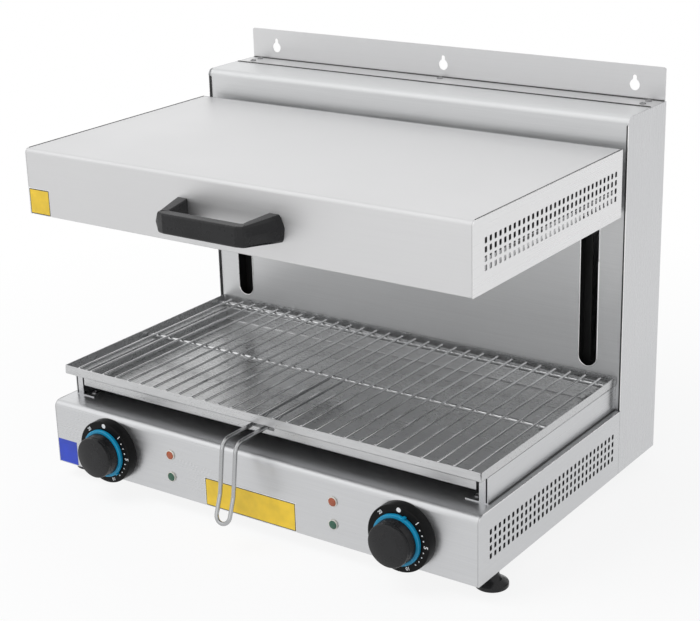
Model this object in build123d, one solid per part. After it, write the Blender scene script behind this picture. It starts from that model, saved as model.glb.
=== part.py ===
from build123d import *
import math
import os

# Cheese melter: an electric grill whose hood slides up and down on a rear column.
# Millimetres. +Z is up and the front faces -Y. X = 0 is the plane of symmetry, Z = 0 the
# surface that the feet stand on, and Y = 0 is half way between the hood handle's grip and
# the cable gland's rear end.

# ---- casing -------------------------------------------------------------------------
WIDTH = 600.0               # across the base and the column
BASE_HEIGHT = 80.0          # underside of the base to its deck
COLUMN_HEIGHT = 431.0       # underside of the base to the column's top
BODY_DEPTH = 421.0          # front of the base to the back of the column
COLUMN_DEPTH = 95.0         # fascia to the back of the column
SHEET = 1.0                 # casing sheet
SEAM = 0.3                  # gap between neighbouring casing sheets
CORNER_RADIUS = 8.0         # rolled edge of the base and of the column
DECK_TUCK = 20.0            # deck continued under the column
PAN_FLANGE = 12.0           # upturned edge of the bottom pan
SIDE_PROUD = 2.0            # column side plates stand this far ahead of the fascia
SIDE_FLANGE = 16.0          # rear flange of each column side plate

# ---- column top and wall bracket ----------------------------------------------------
BRACKET_FLANGE = 37.0       # depth of the wall bracket's flat flange
BRACKET_RISE = 39.0         # upstand above the column's top
BRACKET_CORNER = 8.0        # rounded upper corners of the upstand
FASCIA_LAP = 10.0           # fascia's top resting on the back panel's flange
KEYHOLE_INSET = 40.0        # casing side to the outer keyholes
KEYHOLE_RISE = 15.5         # column top to the centre of the large round
KEYHOLE_RADIUS = 6.8
KEYHOLE_NECK_RADIUS = 3.0
KEYHOLE_LIFT = 10.5         # large round to small round
FLANGE_SCREW_INSET = 18.0   # casing side to the outer flange screws
FLANGE_SCREW_ROW = 12.5     # seam to the two front screws
FLANGE_SCREW_REAR_ROW = 28.0  # seam to the three rear screws

# ---- perforated side plates ---------------------------------------------------------
VENT_PITCH = 9.4
VENT_ROWS = 4
VENT_WIDTH = 4.6
VENT_HEIGHT = 6.2
VENT_START = 24.5           # front edge to the first column of holes
VENT_END_MARGIN = 13.0      # least metal behind the last column

# ---- hood ---------------------------------------------------------------------------
HOOD_SIDE_STEP = 0.5        # casing side to the hood's side
HOOD_OVERHANG = 10.0        # hood ahead of the base
HOOD_REAR_GAP = 14.0        # hood to the fascia
HOOD_HEIGHT = 78.0
HOOD_TOP_STEP = 33.0        # column's top to the hood's top, as stored
HOOD_RADIUS = 5.0
HOOD_RETURN = 14.0          # folded-in edges of the hood shell
HOOD_LOWEST = 50.0          # deck to the hood's lower edge, with the hood right down
HOOD_RAISE = 20.0           # upward travel from the stored height
REFLECTOR_SHEET = 0.8
REFLECTOR_RISE = 34.0       # hood's lower edge to the reflector's flat
REFLECTOR_SLOPE = 22.0      # sloped front and rear of the reflector

# ---- heating elements ---------------------------------------------------------------
ELEMENT_RADIUS = 4.0
ELEMENT_RISE = 16.0         # hood's lower edge to the tubes' centre
ELEMENT_LEG_SPACING = 64.0
ELEMENT_LEGS = 4
ELEMENT_BEND = 16.0
ELEMENT_CENTRE_GAP = 22.0   # from X = 0 to each element's inner bends
ELEMENT_END_GAP = 26.0      # hood's side to the element's ends
ELEMENT_STUB = 13.0         # tube's end above the reflector
HANGER_SHEET = 1.5
HANGER_WINDOW = 9.0
HANGER_LIP = 4.0            # hanger below its windows

# ---- hood handle --------------------------------------------------------------------
HANDLE_REACH = 50.0         # hood front to the front of the grip
HANDLE_GRIP = 120.0         # length of the grip's front face
HANDLE_SPLAY = 12.0         # each foot's outer side beyond the end of the grip
HANDLE_BAR = 14.0           # thickness of the grip, front to back
HANDLE_FOOT = 18.0          # width of each mounting foot
HANDLE_FOOT_HEIGHT = 17.0
HANDLE_GRIP_HEIGHT = 22.5
HANDLE_RISE = 43.0          # hood's lower edge to the middle of the mounting feet
HANDLE_DROOP = 6.0          # grip below the mounting feet
HANDLE_CORNER = 7.0
HANDLE_EDGE = 2.0

# ---- lift gear ----------------------------------------------------------------------
SLOT_INSET = 45.0           # casing side to the middle of each slot
SLOT_WIDTH = 24.0
SLOT_TOP_GAP = 1.5          # lift arm to the slot's upper end, with the hood right up
SLOT_FOOT_GAP = 12.0        # lift arm to the slot's lower end, with the hood right down
CHANNEL_WIDTH = 30.0        # inside width of the black channel behind the slot
CHANNEL_DEPTH = 18.0
CHANNEL_LIP = 8.0
CHANNEL_SLIT = 11.0
CHANNEL_MARGIN = 8.0        # channel beyond the slot's ends
ARM_RISE = 10.0             # hood's lower edge to the arm's lower edge
ARM_HEIGHT = 40.0
ARM_WEB = 6.0
ARM_FLANGE = 4.0
ARM_FRONT_FLANGE = 40.0
CARRIAGE_GAP = 11.0         # channel's web to the carriage
CARRIAGE_WIDTH = 44.0
CARRIAGE_DEPTH = 38.0
CARRIAGE_HEIGHT = 64.0
ROD_RADIUS = 6.0
ROD_CLEARANCE = 0.05
ROD_BRACKET_SHEET = 3.0
ROD_BRACKET_DEPTH = 44.0
ROD_BRACKET_FLANGE = 16.0
UPPER_BRACKET_DROP = 14.0   # column top to the upper bracket
LOWER_BRACKET_RISE = 16.0   # deck to the lower bracket
CROSSBAR_SHEET = 4.0
CROSSBAR_HEIGHT = 26.0
CROSSBAR_SHELF = 18.0
SPRING_INSET = 75.0         # middle of a slot to the nearer spring
SPRING_RADIUS = 8.0
SPRING_STEM = 2.5
SPRING_HEAD = 5.0           # stem beyond the plates
SPRING_END_GAP = 8.0        # spring's coils to the plates that hold its stems
FIT = 0.3                   # gap between pieces that move past each other or merely seat

# ---- tray rails, tray and rack ------------------------------------------------------
RAIL_INSET = 7.7            # casing side to the rail's outer face
RAIL_FRONT = 32.0           # base front to the rail
RAIL_HEIGHT = 30.7
RAIL_SHEET = 1.2
RAIL_TOP_FLANGE = 10.0
RAIL_FOOT_FLANGE = 28.0
RAIL_TAB = 8.0              # front tab's width
RAIL_TAB_GAP = 1.8          # open corner beside the front tab
RAIL_SCREW_INSET = 11.0     # rail's ends to the screws
RAIL_SCREW_EDGE = 9.0       # foot flange's edge to the screws
SCREW_HEAD_RADIUS = 3.8
SCREW_HEAD_HEIGHT = 2.2
TRAY_FRONT = 16.0           # base front to the tray's rim
TRAY_OVERHANG = 1.2         # rim beyond the rail's outer face
TRAY_REAR_GAP = 1.0         # fascia to the tray
TRAY_SHEET = 1.0
TRAY_LEDGE = 15.0
TRAY_RIM = 11.5
TRAY_DROP = 18.3            # ledge's underside to the pan's underside
TRAY_NOTCH = 30.0           # notch in the pan's front wall for the rack's handle
TRAY_NOTCH_SILL = 4.0
RACK_WIRES = 29
RACK_WIRE_RADIUS = 1.6
RACK_SIDE_MARGIN = 16.2     # rim's inside to the outermost long wire
RACK_FRONT_GAP = 5.0        # rim's inside to the wires' front ends
RACK_REAR_GAP = 5.0
CROSS_WIRE_RADIUS = 2.5
CROSS_WIRE_SIDE_GAP = 1.5
CROSS_WIRE_FRONT_END = 4.0  # long wires' front ends to the front cross wire
CROSS_WIRE_REAR_END = 8.0
WELD_GAP = 0.05
LOOP_RADIUS = 2.5
LOOP_WIDTH = 18.8           # between the loop handle's two wires, centre to centre
LOOP_HEIGHT = 25.0          # deck to the wires where they pass the notch
LOOP_ROOT_LAP = 6.0         # loop's inner ends past the middle cross wire
LOOP_RAMP_START = 8.0       # tray's ledge to the foot of the loop's ramp
LOOP_RAMP_END = 22.0        # tray's ledge to the head of the ramp
LOOP_CREST = 29.0           # front bend ahead of the base
LOOP_KNEE_RISE = 44.0       # base underside to the loop's lower knee
LOOP_KNEE_REACH = 38.0
LOOP_TIP_RISE = 11.0        # base underside to the loop's end
LOOP_TIP_REACH = 50.0
LOOP_BEND = 12.0
LOOP_TIP_BEND = 7.5         # the two bends at the loop's end

# ---- controls -----------------------------------------------------------------------
KNOB_INSET = 91.0           # casing side to each knob's axis
CONTROL_HEIGHT = 37.5       # base underside to the row of controls
DIAL_RADIUS = 40.3
DIAL_THICKNESS = 5.0
DIAL_HOLE = 7.0
RING_GAP = 0.6              # dial plate to the knob's ring
KNOB_RING_RADIUS = 29.5
KNOB_RING_THICKNESS = 4.0
KNOB_SKIRT_RADIUS = 26.0
KNOB_CAP_RADIUS = 25.0
KNOB_LENGTH = 26.0          # ring's front face to the crown
KNOB_CAP_LENGTH = 9.0
KNOB_GROOVE = 1.2
KNOB_CROWN = 2.0
NIB_WIDTH = 3.0
NIB_REACH = 1.8
SPINDLE_RADIUS = 3.0
SPINDLE_CLEARANCE = 0.05
SPINDLE_IN_KNOB = 16.0
SPINDLE_IN_REGULATOR = 14.0
REGULATOR_SIZE = 38.0
REGULATOR_DEPTH = 30.0
REGULATOR_BUSH = 5.0
REGULATOR_HOLE_GAP = 0.2
RIGHT_SETTING = 20.0        # clockwise from zero, as stored
LEFT_SETTING = 137.0
LAMP_FROM_KNOB = 93.0
LAMP_SPACING = 27.6
LAMP_RADIUS = 6.0
LAMP_BEZEL = 1.6
LENS_RADIUS = 5.0
LENS_PROUD = 1.0

# ---- base fittings ------------------------------------------------------------------
FOOT_HEIGHT = 20.0
FOOT_RADIUS = 18.5
FOOT_RIM = 4.0
FOOT_WAIST = 11.0           # radius half way up
FOOT_NECK = 8.0
FOOT_SIDE_INSET = 10.0      # casing side to a front foot's axis
FOOT_REAR_SIDE_INSET = 45.0
FOOT_FRONT_INSET = 44.0
FOOT_REAR_INSET = 46.0
FOOT_STUD = 4.0
FOOT_STUD_LENGTH = 16.0
NUT_HEIGHT = 6.5
NUT_RADIUS = 7.5
STUD_CLEARANCE = 0.06
GLAND_INSET = 100.0         # casing side to the cable gland's axis
GLAND_RISE = 44.0
GLAND_BORE = 5.0
GLAND_BARREL = 8.0
GLAND_DOME = 11.0
GLAND_REACH = 18.0
GLAND_NUT = 5.0
TERMINAL_WIDTH = 66.0
TERMINAL_DEPTH = 24.0
TERMINAL_HEIGHT = 20.0
TERMINAL_POLES = 3
TERMINAL_FORWARD = 70.0     # casing back to the terminal block
BACK_VENT_LENGTH = 60.0
BACK_VENT_WIDTH = 5.0
BACK_VENT_PITCH = 14.0
BACK_VENT_COUNT = 5
BACK_VENT_OFFSET = 120.0
BACK_SCREW_PITCH = 130.0
BACK_SCREW_COUNT = 3

# ---- sides of the rounds that repeat or are small -------------------------------------
WIRE_SIDES = 6
SPRING_SIDES = 8
FASTENER_SIDES = 6
LAMP_SIDES = 12
KEYHOLE_SIDES = 12
GLAND_SIDES = 12
FOOT_SIDES = 12
KNOB_SIDES = 24
BEND_CHORDS = 2

# ---- planes worked out from the sizes above ------------------------------------------
Y_FRONT = (HOOD_OVERHANG + HANDLE_REACH - BODY_DEPTH - GLAND_REACH) / 2
Y_BACK = Y_FRONT + BODY_DEPTH
Y_FASCIA = Y_BACK - COLUMN_DEPTH
Y_TOP_SEAM = Y_BACK - BRACKET_FLANGE
Z_BASE = FOOT_HEIGHT
Z_DECK = Z_BASE + BASE_HEIGHT
Z_TOP = Z_BASE + COLUMN_HEIGHT
Z_CONTROLS = Z_BASE + CONTROL_HEIGHT
X_SIDE = WIDTH / 2
X_INSIDE = X_SIDE - SHEET - SEAM
Y_HOOD = Y_FRONT - HOOD_OVERHANG
Y_HOOD_BACK = Y_FASCIA - HOOD_REAR_GAP
Z_HOOD_TOP = Z_TOP - HOOD_TOP_STEP
Z_HOOD = Z_HOOD_TOP - HOOD_HEIGHT
X_HOOD_SIDE = X_SIDE - HOOD_SIDE_STEP
X_HOOD_INSIDE = X_HOOD_SIDE - SHEET - SEAM
Z_REFLECTOR = Z_HOOD + REFLECTOR_RISE
Z_ARM = Z_HOOD + ARM_RISE
Z_HANDLE_FOOT = Z_HOOD + HANDLE_RISE
X_HANDLE_FOOT = HANDLE_GRIP / 2 + HANDLE_SPLAY - HANDLE_FOOT / 2
X_SLOT = X_SIDE - SLOT_INSET
X_SPRING = X_SLOT - SPRING_INSET
X_KNOB = X_SIDE - KNOB_INSET
X_LAMP = X_KNOB - LAMP_FROM_KNOB
X_GLAND = X_SIDE - GLAND_INSET
X_KEYHOLE = X_SIDE - KEYHOLE_INSET
X_FLANGE_SCREW = X_SIDE - FLANGE_SCREW_INSET
Y_CHANNEL_WEB = Y_FASCIA + SHEET + CHANNEL_DEPTH
Y_CARRIAGE = Y_CHANNEL_WEB + SHEET + CARRIAGE_GAP
Y_ROD = Y_CARRIAGE + CARRIAGE_DEPTH / 2
Z_CARRIAGE = Z_ARM + ARM_HEIGHT / 2 - CARRIAGE_HEIGHT / 2
Z_SLOT_FOOT = Z_DECK + HOOD_LOWEST + ARM_RISE - SLOT_FOOT_GAP
Z_SLOT_TOP = Z_ARM + ARM_HEIGHT + HOOD_RAISE + SLOT_TOP_GAP
Z_UPPER_BRACKET = Z_TOP - UPPER_BRACKET_DROP
Z_LOWER_BRACKET = Z_DECK + LOWER_BRACKET_RISE
X_RAIL = X_SIDE - RAIL_INSET
Y_RAIL = Y_FRONT + RAIL_FRONT
Z_RAIL_TOP = Z_DECK + RAIL_HEIGHT
X_TRAY = X_RAIL + TRAY_OVERHANG
Y_TRAY = Y_FRONT + TRAY_FRONT
Y_TRAY_BACK = Y_FASCIA - TRAY_REAR_GAP
Z_LEDGE = Z_RAIL_TOP + FIT
Z_RIM = Z_LEDGE + TRAY_RIM
Z_PAN = Z_LEDGE - TRAY_DROP
Z_CROSS_WIRE = Z_LEDGE + TRAY_SHEET + FIT + CROSS_WIRE_RADIUS
Z_RACK_WIRE = Z_CROSS_WIRE + CROSS_WIRE_RADIUS + WELD_GAP + RACK_WIRE_RADIUS
Y_DIAL_FACE = Y_FRONT - DIAL_THICKNESS
Y_RING_BACK = Y_DIAL_FACE - RING_GAP
Y_RING_FACE = Y_RING_BACK - KNOB_RING_THICKNESS
Y_SPRING = Y_CARRIAGE + CARRIAGE_DEPTH - CROSSBAR_SHELF / 2


# ---- small makers --------------------------------------------------------------------
def block(x0, x1, y0, y1, z0, z1):
    """A box between three pairs of limits."""
    middle = Pos((x0 + x1) / 2, (y0 + y1) / 2, (z0 + z1) / 2)
    return middle * Box(x1 - x0, y1 - y0, z1 - z0)


def round_or_polygon(radius, sides):
    """A circle, or for small repeated rounds a polygon of a few sides."""
    return RegularPolygon(radius, sides) if sides else Circle(radius)


def around(radius, sides):
    """Corner radius of a polygon that clears a round of the radius given."""
    return radius / math.cos(math.pi / sides)


def post(x, y, radius, z0, z1, sides=0):
    """An upright cylinder or prism from z0 to z1."""
    return Pos(x, y, z0) * extrude(round_or_polygon(radius, sides), amount=z1 - z0)


def spigot(x, z, radius, y0, y1, sides=0):
    """A cylinder or prism along Y from y0 to y1."""
    return upright(Pos(x, z) * round_or_polygon(radius, sides), y0, y1)


def eased(path, bend, chords):
    """The path with each corner cut to a few chords of an arc, all of one radius or one each."""
    radii = bend if isinstance(bend, list) else [bend] * (len(path) - 2)
    points = [path[0]]
    for before, corner, after, radius in zip(path, path[1:], path[2:], radii):
        corner = Vector(*corner)
        inward = (Vector(*before) - corner).normalized()
        onward = (Vector(*after) - corner).normalized()
        half_angle = math.radians(inward.get_angle(onward)) / 2
        reach = radius / math.tan(half_angle)
        centre = corner + (inward + onward).normalized() * (radius / math.sin(half_angle))
        start = corner + inward * reach - centre
        end = corner + onward * reach - centre
        sweep_angle = math.pi - 2 * half_angle
        for i in range(chords + 1):
            part = i / chords
            weight_start = math.sin((1 - part) * sweep_angle) / math.sin(sweep_angle)
            weight_end = math.sin(part * sweep_angle) / math.sin(sweep_angle)
            points.append(centre + start * weight_start + end * weight_end)
    points.append(path[-1])
    return points


def sheet_section(path, bend, thickness, side):
    """Cross-section of a folded sheet: round at each radius given, sharp at a radius of 0."""
    bends = bend if isinstance(bend, list) else [bend] * (len(path) - 2)
    line = FilletPolyline(*path, radius=bends)
    return make_face(offset(line, amount=thickness, side=side, kind=Kind.INTERSECTION).edges())


def folded_sheet(path, bend, thickness, x0, x1, side=Side.RIGHT):
    """A sheet folded along a path of (y, z) points, its thickness on one side of the path."""
    section = sheet_section(path, bend, thickness, side)
    return extrude(Plane.YZ.offset(x0) * section, amount=x1 - x0)


def folded_channel(path, thickness, y0, y1, side=Side.RIGHT):
    """A sheet folded along a path of (x, z) points and running along Y."""
    return upright(sheet_section(path, 0, thickness, side), y0, y1)


def upright(sketch, y0, y1):
    """A sketch drawn in (x, z), given depth from y0 to y1."""
    return extrude(Plane.XZ.offset(-y0) * sketch, amount=y0 - y1)


def stacked(levels, sides):
    """A faceted turned body along Z through (radius, height) levels."""
    flat_share = math.cos(math.pi / sides)
    body = Part()
    for (low, bottom), (high, top) in zip(levels, levels[1:]):
        slope = math.degrees(math.atan2((low - high) * flat_share, top - bottom))
        section = Plane.XY.offset(bottom) * RegularPolygon(low, sides)
        body += extrude(section, amount=top - bottom, taper=slope)
    return body


def wire(points, radius, sides):
    """A rod of a few sides along a mitred path."""
    line = Polyline(*points)
    section = Plane(origin=line @ 0, z_dir=line % 0) * RegularPolygon(radius, sides)
    return sweep(section, path=line, transition=Transition.RIGHT).solid()


def screw_head(x, y, z):
    """Head of a screw that sits on the level z."""
    return post(x, y, SCREW_HEAD_RADIUS, z, z + SCREW_HEAD_HEIGHT, FASTENER_SIDES)


# ---- base ----------------------------------------------------------------------------
def base_shell():
    """Front panel rolled into the deck, cut for the two regulators' bushes."""
    path = [(Y_FRONT, Z_BASE), (Y_FRONT, Z_DECK), (Y_FASCIA + DECK_TUCK, Z_DECK)]
    shell = folded_sheet(path, CORNER_RADIUS, SHEET, -X_INSIDE, X_INSIDE)
    for x in (-X_KNOB, X_KNOB):
        hole = REGULATOR_BUSH + REGULATOR_HOLE_GAP
        shell -= spigot(x, Z_CONTROLS, hole, Y_FRONT - SHEET, Y_FRONT + 2 * SHEET, FASTENER_SIDES)
    return shell


def vent_field(first, last, middle):
    """Long grooves along each row and slots down each column, in (y, z) and centred on a height."""
    columns = int((last - first - VENT_START - VENT_END_MARGIN) / VENT_PITCH) + 1
    length = (columns - 1) * VENT_PITCH
    rise = (VENT_ROWS - 1) * VENT_PITCH
    centre = Pos(first + VENT_START + length / 2, middle)
    rows = GridLocations(VENT_PITCH, VENT_PITCH, 1, VENT_ROWS)
    ranks = GridLocations(VENT_PITCH, VENT_PITCH, columns, 1)
    grooves = [centre * place * Rectangle(length + VENT_WIDTH, VENT_HEIGHT) for place in rows]
    slots = [centre * place * Rectangle(VENT_WIDTH, rise + VENT_HEIGHT) for place in ranks]
    return Sketch() + grooves, Sketch() + slots


def side_plate(front, back, bottom, top, radius, outer, vented):
    """A right-hand side plate with a round upper front corner, and its vents if it has them.

    Grooves cut half through from outside cross slots cut half through from inside, and each
    crossing is one rectangular hole.
    """
    outline = Pos((front + back) / 2, (bottom + top) / 2) * Rectangle(back - front, top - bottom)
    outline -= Pos(front + radius / 2, top - radius / 2) * Rectangle(radius, radius)
    outline += Pos(front + radius, top - radius) * Circle(radius)
    inner = outer - SHEET
    plate = extrude(Plane.YZ.offset(inner) * outline, amount=SHEET)
    if vented:
        grooves, slots = vent_field(front, back, (bottom + top) / 2)
        plate -= extrude(Plane.YZ.offset(outer - SHEET / 2) * grooves, amount=SHEET / 2)
        plate -= extrude(Plane.YZ.offset(inner) * slots, amount=SHEET / 2)
    return plate


def base_side():
    back = Y_FASCIA - SIDE_PROUD - SEAM
    return side_plate(Y_FRONT, back, Z_BASE, Z_DECK, CORNER_RADIUS, X_SIDE, True)


def foot_places():
    x_front = X_SIDE - FOOT_SIDE_INSET
    x_rear = X_SIDE - FOOT_REAR_SIDE_INSET
    front = Y_FRONT + FOOT_FRONT_INSET
    back = Y_BACK - FOOT_REAR_INSET
    return {
        "front_left": (-x_front, front),
        "front_right": (x_front, front),
        "rear_left": (-x_rear, back),
        "rear_right": (x_rear, back),
    }


def base_bottom_pan():
    """Flat pan with upturned edges and four welded nuts for the feet."""
    front = Y_FRONT + SHEET + SEAM
    back = Y_BACK - SHEET - SEAM
    rim = Z_BASE + PAN_FLANGE
    path = [(front, rim), (front, Z_BASE), (back, Z_BASE), (back, rim)]
    pan = folded_sheet(path, 0, SHEET, -X_INSIDE, X_INSIDE, Side.LEFT)
    nut_top = Z_BASE + SHEET + NUT_HEIGHT
    for x, y in foot_places().values():
        pan += post(x, y, NUT_RADIUS, Z_BASE + SHEET, nut_top, FASTENER_SIDES)
        pan -= post(x, y, FOOT_STUD + STUD_CLEARANCE, Z_BASE, nut_top, FASTENER_SIDES)
    return pan


def foot(x, y):
    """Bell-shaped pad with its threaded stud, screwed right home."""
    top = Z_BASE - FIT
    levels = [(FOOT_RADIUS, 0), (FOOT_RADIUS, FOOT_RIM), (FOOT_WAIST, top / 2), (FOOT_NECK, top)]
    stud = post(0, 0, FOOT_STUD, top, top + FOOT_STUD_LENGTH, FASTENER_SIDES)
    return Pos(x, y, 0) * (stacked(levels, FOOT_SIDES) + stud)


# ---- column --------------------------------------------------------------------------
def column_fascia():
    """Front panel of the column, standing on the deck and rolled over into the top."""
    path = [
        (Y_FASCIA + DECK_TUCK - SHEET, Z_DECK + SEAM),
        (Y_FASCIA, Z_DECK + SEAM),
        (Y_FASCIA, Z_TOP),
        (Y_TOP_SEAM - SEAM, Z_TOP),
    ]
    fascia = folded_sheet(path, [0, CORNER_RADIUS], SHEET, -X_INSIDE, X_INSIDE)
    slot = SlotOverall(Z_SLOT_TOP - Z_SLOT_FOOT, SLOT_WIDTH, rotation=90)
    middle = (Z_SLOT_FOOT + Z_SLOT_TOP) / 2
    for x in (-X_SLOT, X_SLOT):
        fascia -= upright(Pos(x, middle) * slot, Y_FASCIA - SHEET, Y_FASCIA + 2 * SHEET)
    return fascia


def column_side():
    """Right side plate of the column with the rear flange that takes the back's screws."""
    front = Y_FASCIA - SIDE_PROUD
    plate = side_plate(front, Y_BACK, Z_BASE, Z_TOP, CORNER_RADIUS, X_SIDE, False)
    back = Y_BACK - SHEET - SEAM
    low = Z_BASE + PAN_FLANGE + SEAM
    high = Z_TOP - 2 * SHEET - SEAM
    plate += block(X_SIDE - SIDE_FLANGE, X_SIDE - SHEET, back - SHEET, back, low, high)
    return plate


def column_back_panel():
    """Rear panel with a forward top flange, two groups of vents and the cable outlet."""
    path = [
        (Y_TOP_SEAM - FASCIA_LAP, Z_TOP - SHEET),
        (Y_BACK, Z_TOP - SHEET),
        (Y_BACK, Z_BASE),
    ]
    panel = folded_sheet(path, 0, SHEET, -X_INSIDE, X_INSIDE)
    vents = GridLocations(BACK_VENT_PITCH, BACK_VENT_PITCH, BACK_VENT_COUNT, 1)
    middle = (Z_DECK + Z_TOP) / 2
    for x in (-BACK_VENT_OFFSET, BACK_VENT_OFFSET):
        slot = Pos(x, middle) * Rectangle(BACK_VENT_WIDTH, BACK_VENT_LENGTH)
        field = [spot * slot for spot in vents]
        panel -= upright(Sketch() + field, Y_BACK - 2 * SHEET, Y_BACK + SHEET)
    outlet = GLAND_BARREL + FIT
    z = Z_BASE + GLAND_RISE
    panel -= spigot(X_GLAND, z, outlet, Y_BACK - 2 * SHEET, Y_BACK + SHEET, GLAND_SIDES)
    return panel


def keyhole(x):
    """Pear-shaped hanging hole: a large round drawn up into a small one."""
    low = Pos(x, Z_TOP + KEYHOLE_RISE)
    large = low * RegularPolygon(KEYHOLE_RADIUS, KEYHOLE_SIDES)
    small = low * Pos(0, KEYHOLE_LIFT) * RegularPolygon(KEYHOLE_NECK_RADIUS, KEYHOLE_SIDES)
    return make_hull(large.edges() + small.edges())


def wall_bracket():
    """Flat flange screwed to the column's top, and an upstand with three keyholes."""
    path = [
        (Y_TOP_SEAM, Z_TOP - SHEET),
        (Y_BACK, Z_TOP - SHEET),
        (Y_BACK, Z_TOP + BRACKET_RISE),
    ]
    bracket = folded_sheet(path, 0, SHEET, -X_INSIDE, X_INSIDE, Side.LEFT)
    height = BRACKET_RISE + 2 * SHEET
    outline = Rectangle(2 * X_INSIDE, height, align=(Align.CENTER, Align.MAX))
    outline = fillet(outline.vertices().group_by(Axis.Y)[-1], BRACKET_CORNER)
    outline = Pos(0, Z_TOP + BRACKET_RISE) * outline
    bracket &= upright(outline, Y_TOP_SEAM, Y_BACK)
    for x in (-X_KEYHOLE, 0, X_KEYHOLE):
        bracket -= upright(keyhole(x), Y_BACK - 2 * SHEET, Y_BACK + SHEET)
    return bracket


def flange_screw_places():
    front = Y_TOP_SEAM + FLANGE_SCREW_ROW
    rear = Y_TOP_SEAM + FLANGE_SCREW_REAR_ROW
    outer = X_FLANGE_SCREW
    return [(-outer, front), (outer, front), (-outer, rear), (0, rear), (outer, rear)]


def back_screw_places():
    middle = (Z_DECK + Z_TOP) / 2
    rows = [(i - (BACK_SCREW_COUNT - 1) / 2) * BACK_SCREW_PITCH for i in range(BACK_SCREW_COUNT)]
    x = X_SIDE - SIDE_FLANGE / 2
    return [(side * x, middle + row) for side in (-1, 1) for row in rows]


def cover_screws():
    """Screws of the wall bracket's flange and of the back panel."""
    screws = [screw_head(x, y, Z_TOP) for x, y in flange_screw_places()]
    for x, z in back_screw_places():
        screws.append(Pos(x, Y_BACK, z) * Rot(-90, 0, 0) * screw_head(0, 0, 0))
    return screws


# ---- lift gear -----------------------------------------------------------------------
def slot_channel():
    """Black channel behind the right slot, slit for the lift arm's web."""
    half = CHANNEL_WIDTH / 2
    front = Y_FASCIA + SHEET
    low = Z_SLOT_FOOT - CHANNEL_MARGIN
    high = Z_SLOT_TOP + CHANNEL_MARGIN
    reach = half + CHANNEL_LIP
    channel = block(-half - SHEET, half + SHEET, front, Y_CHANNEL_WEB + SHEET, low, high)
    channel += block(-reach, reach, front, front + SHEET, low, high)
    channel -= block(-half, half, front, Y_CHANNEL_WEB, low, high)
    web_back = Y_CHANNEL_WEB + SHEET
    slit = CHANNEL_SLIT / 2
    channel -= block(-slit, slit, Y_CHANNEL_WEB, web_back, Z_SLOT_FOOT, Z_SLOT_TOP)
    return Pos(X_SLOT, 0, 0) * channel


def rod_bracket(upper):
    """Folded plate across the column that holds one end of both guide rods."""
    front = Y_ROD - ROD_BRACKET_DEPTH / 2
    back = Y_ROD + ROD_BRACKET_DEPTH / 2
    x = X_INSIDE
    if upper:
        face = Z_UPPER_BRACKET + ROD_BRACKET_SHEET
        edge = face - ROD_BRACKET_FLANGE
        side = Side.RIGHT
    else:
        face = Z_LOWER_BRACKET
        edge = face + ROD_BRACKET_FLANGE
        side = Side.LEFT
    path = [(-x, edge), (-x, face), (x, face), (x, edge)]
    plate = folded_channel(path, ROD_BRACKET_SHEET, front, back, side)
    if upper:
        for x in (-X_SPRING, X_SPRING):
            plate -= post(x, Y_SPRING, SPRING_STEM + FIT, Z_UPPER_BRACKET, face, FASTENER_SIDES)
    return plate


def guide_rods():
    """Two rods bolted end to end between the brackets."""
    low = Z_LOWER_BRACKET + ROD_BRACKET_SHEET
    return [post(x, Y_ROD, ROD_RADIUS, low, Z_UPPER_BRACKET) for x in (-X_SLOT, X_SLOT)]


def lift_arm():
    """Right arm: a flange on the hood, a web through the slot and a flange on the carriage."""
    high = Z_ARM + ARM_HEIGHT
    front = Y_HOOD_BACK
    half = ARM_FRONT_FLANGE / 2
    arm = block(-half, half, front, front + ARM_FLANGE, Z_ARM, high)
    arm += block(-ARM_WEB / 2, ARM_WEB / 2, front, Y_CARRIAGE, Z_ARM, high)
    half = CARRIAGE_WIDTH / 2
    arm += block(-half, half, Y_CARRIAGE - ARM_FLANGE, Y_CARRIAGE, Z_ARM, high)
    return Pos(X_SLOT, 0, 0) * arm


def carriage():
    """Plastic slide block, bored to run on the guide rod."""
    half = CARRIAGE_WIDTH / 2
    high = Z_CARRIAGE + CARRIAGE_HEIGHT
    back = Y_CARRIAGE + CARRIAGE_DEPTH
    body = block(X_SLOT - half, X_SLOT + half, Y_CARRIAGE, back, Z_CARRIAGE, high)
    return body - post(X_SLOT, Y_ROD, ROD_RADIUS + ROD_CLEARANCE, Z_CARRIAGE, high)


def carriage_crossbar():
    """Angle bar that joins the carriages and carries the springs' lower ends."""
    back = Y_CARRIAGE + CARRIAGE_DEPTH
    reach = X_SLOT + CARRIAGE_WIDTH / 2
    low = Z_CARRIAGE
    bar = block(-reach, reach, back, back + CROSSBAR_SHEET, low, low + CROSSBAR_HEIGHT)
    shelf = X_SLOT - CARRIAGE_WIDTH / 2 - FIT
    bar += block(-shelf, shelf, back - CROSSBAR_SHELF, back, low, low + CROSSBAR_SHEET)
    for x in (-X_SPRING, X_SPRING):
        hole = SPRING_STEM + FIT
        bar -= post(x, Y_SPRING, hole, low, low + CROSSBAR_SHEET, FASTENER_SIDES)
    return bar


def lift_spring():
    """Close-wound right spring whose hooked ends pass through the bracket and the shelf."""
    low = Z_CARRIAGE + CROSSBAR_SHEET + SPRING_END_GAP
    high = Z_UPPER_BRACKET - SPRING_END_GAP
    bottom = Z_CARRIAGE - SPRING_HEAD
    top = Z_UPPER_BRACKET + ROD_BRACKET_SHEET + SPRING_HEAD
    spring = post(X_SPRING, Y_SPRING, SPRING_RADIUS, low, high, SPRING_SIDES)
    return spring + post(X_SPRING, Y_SPRING, SPRING_STEM, bottom, top, FASTENER_SIDES)


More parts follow.
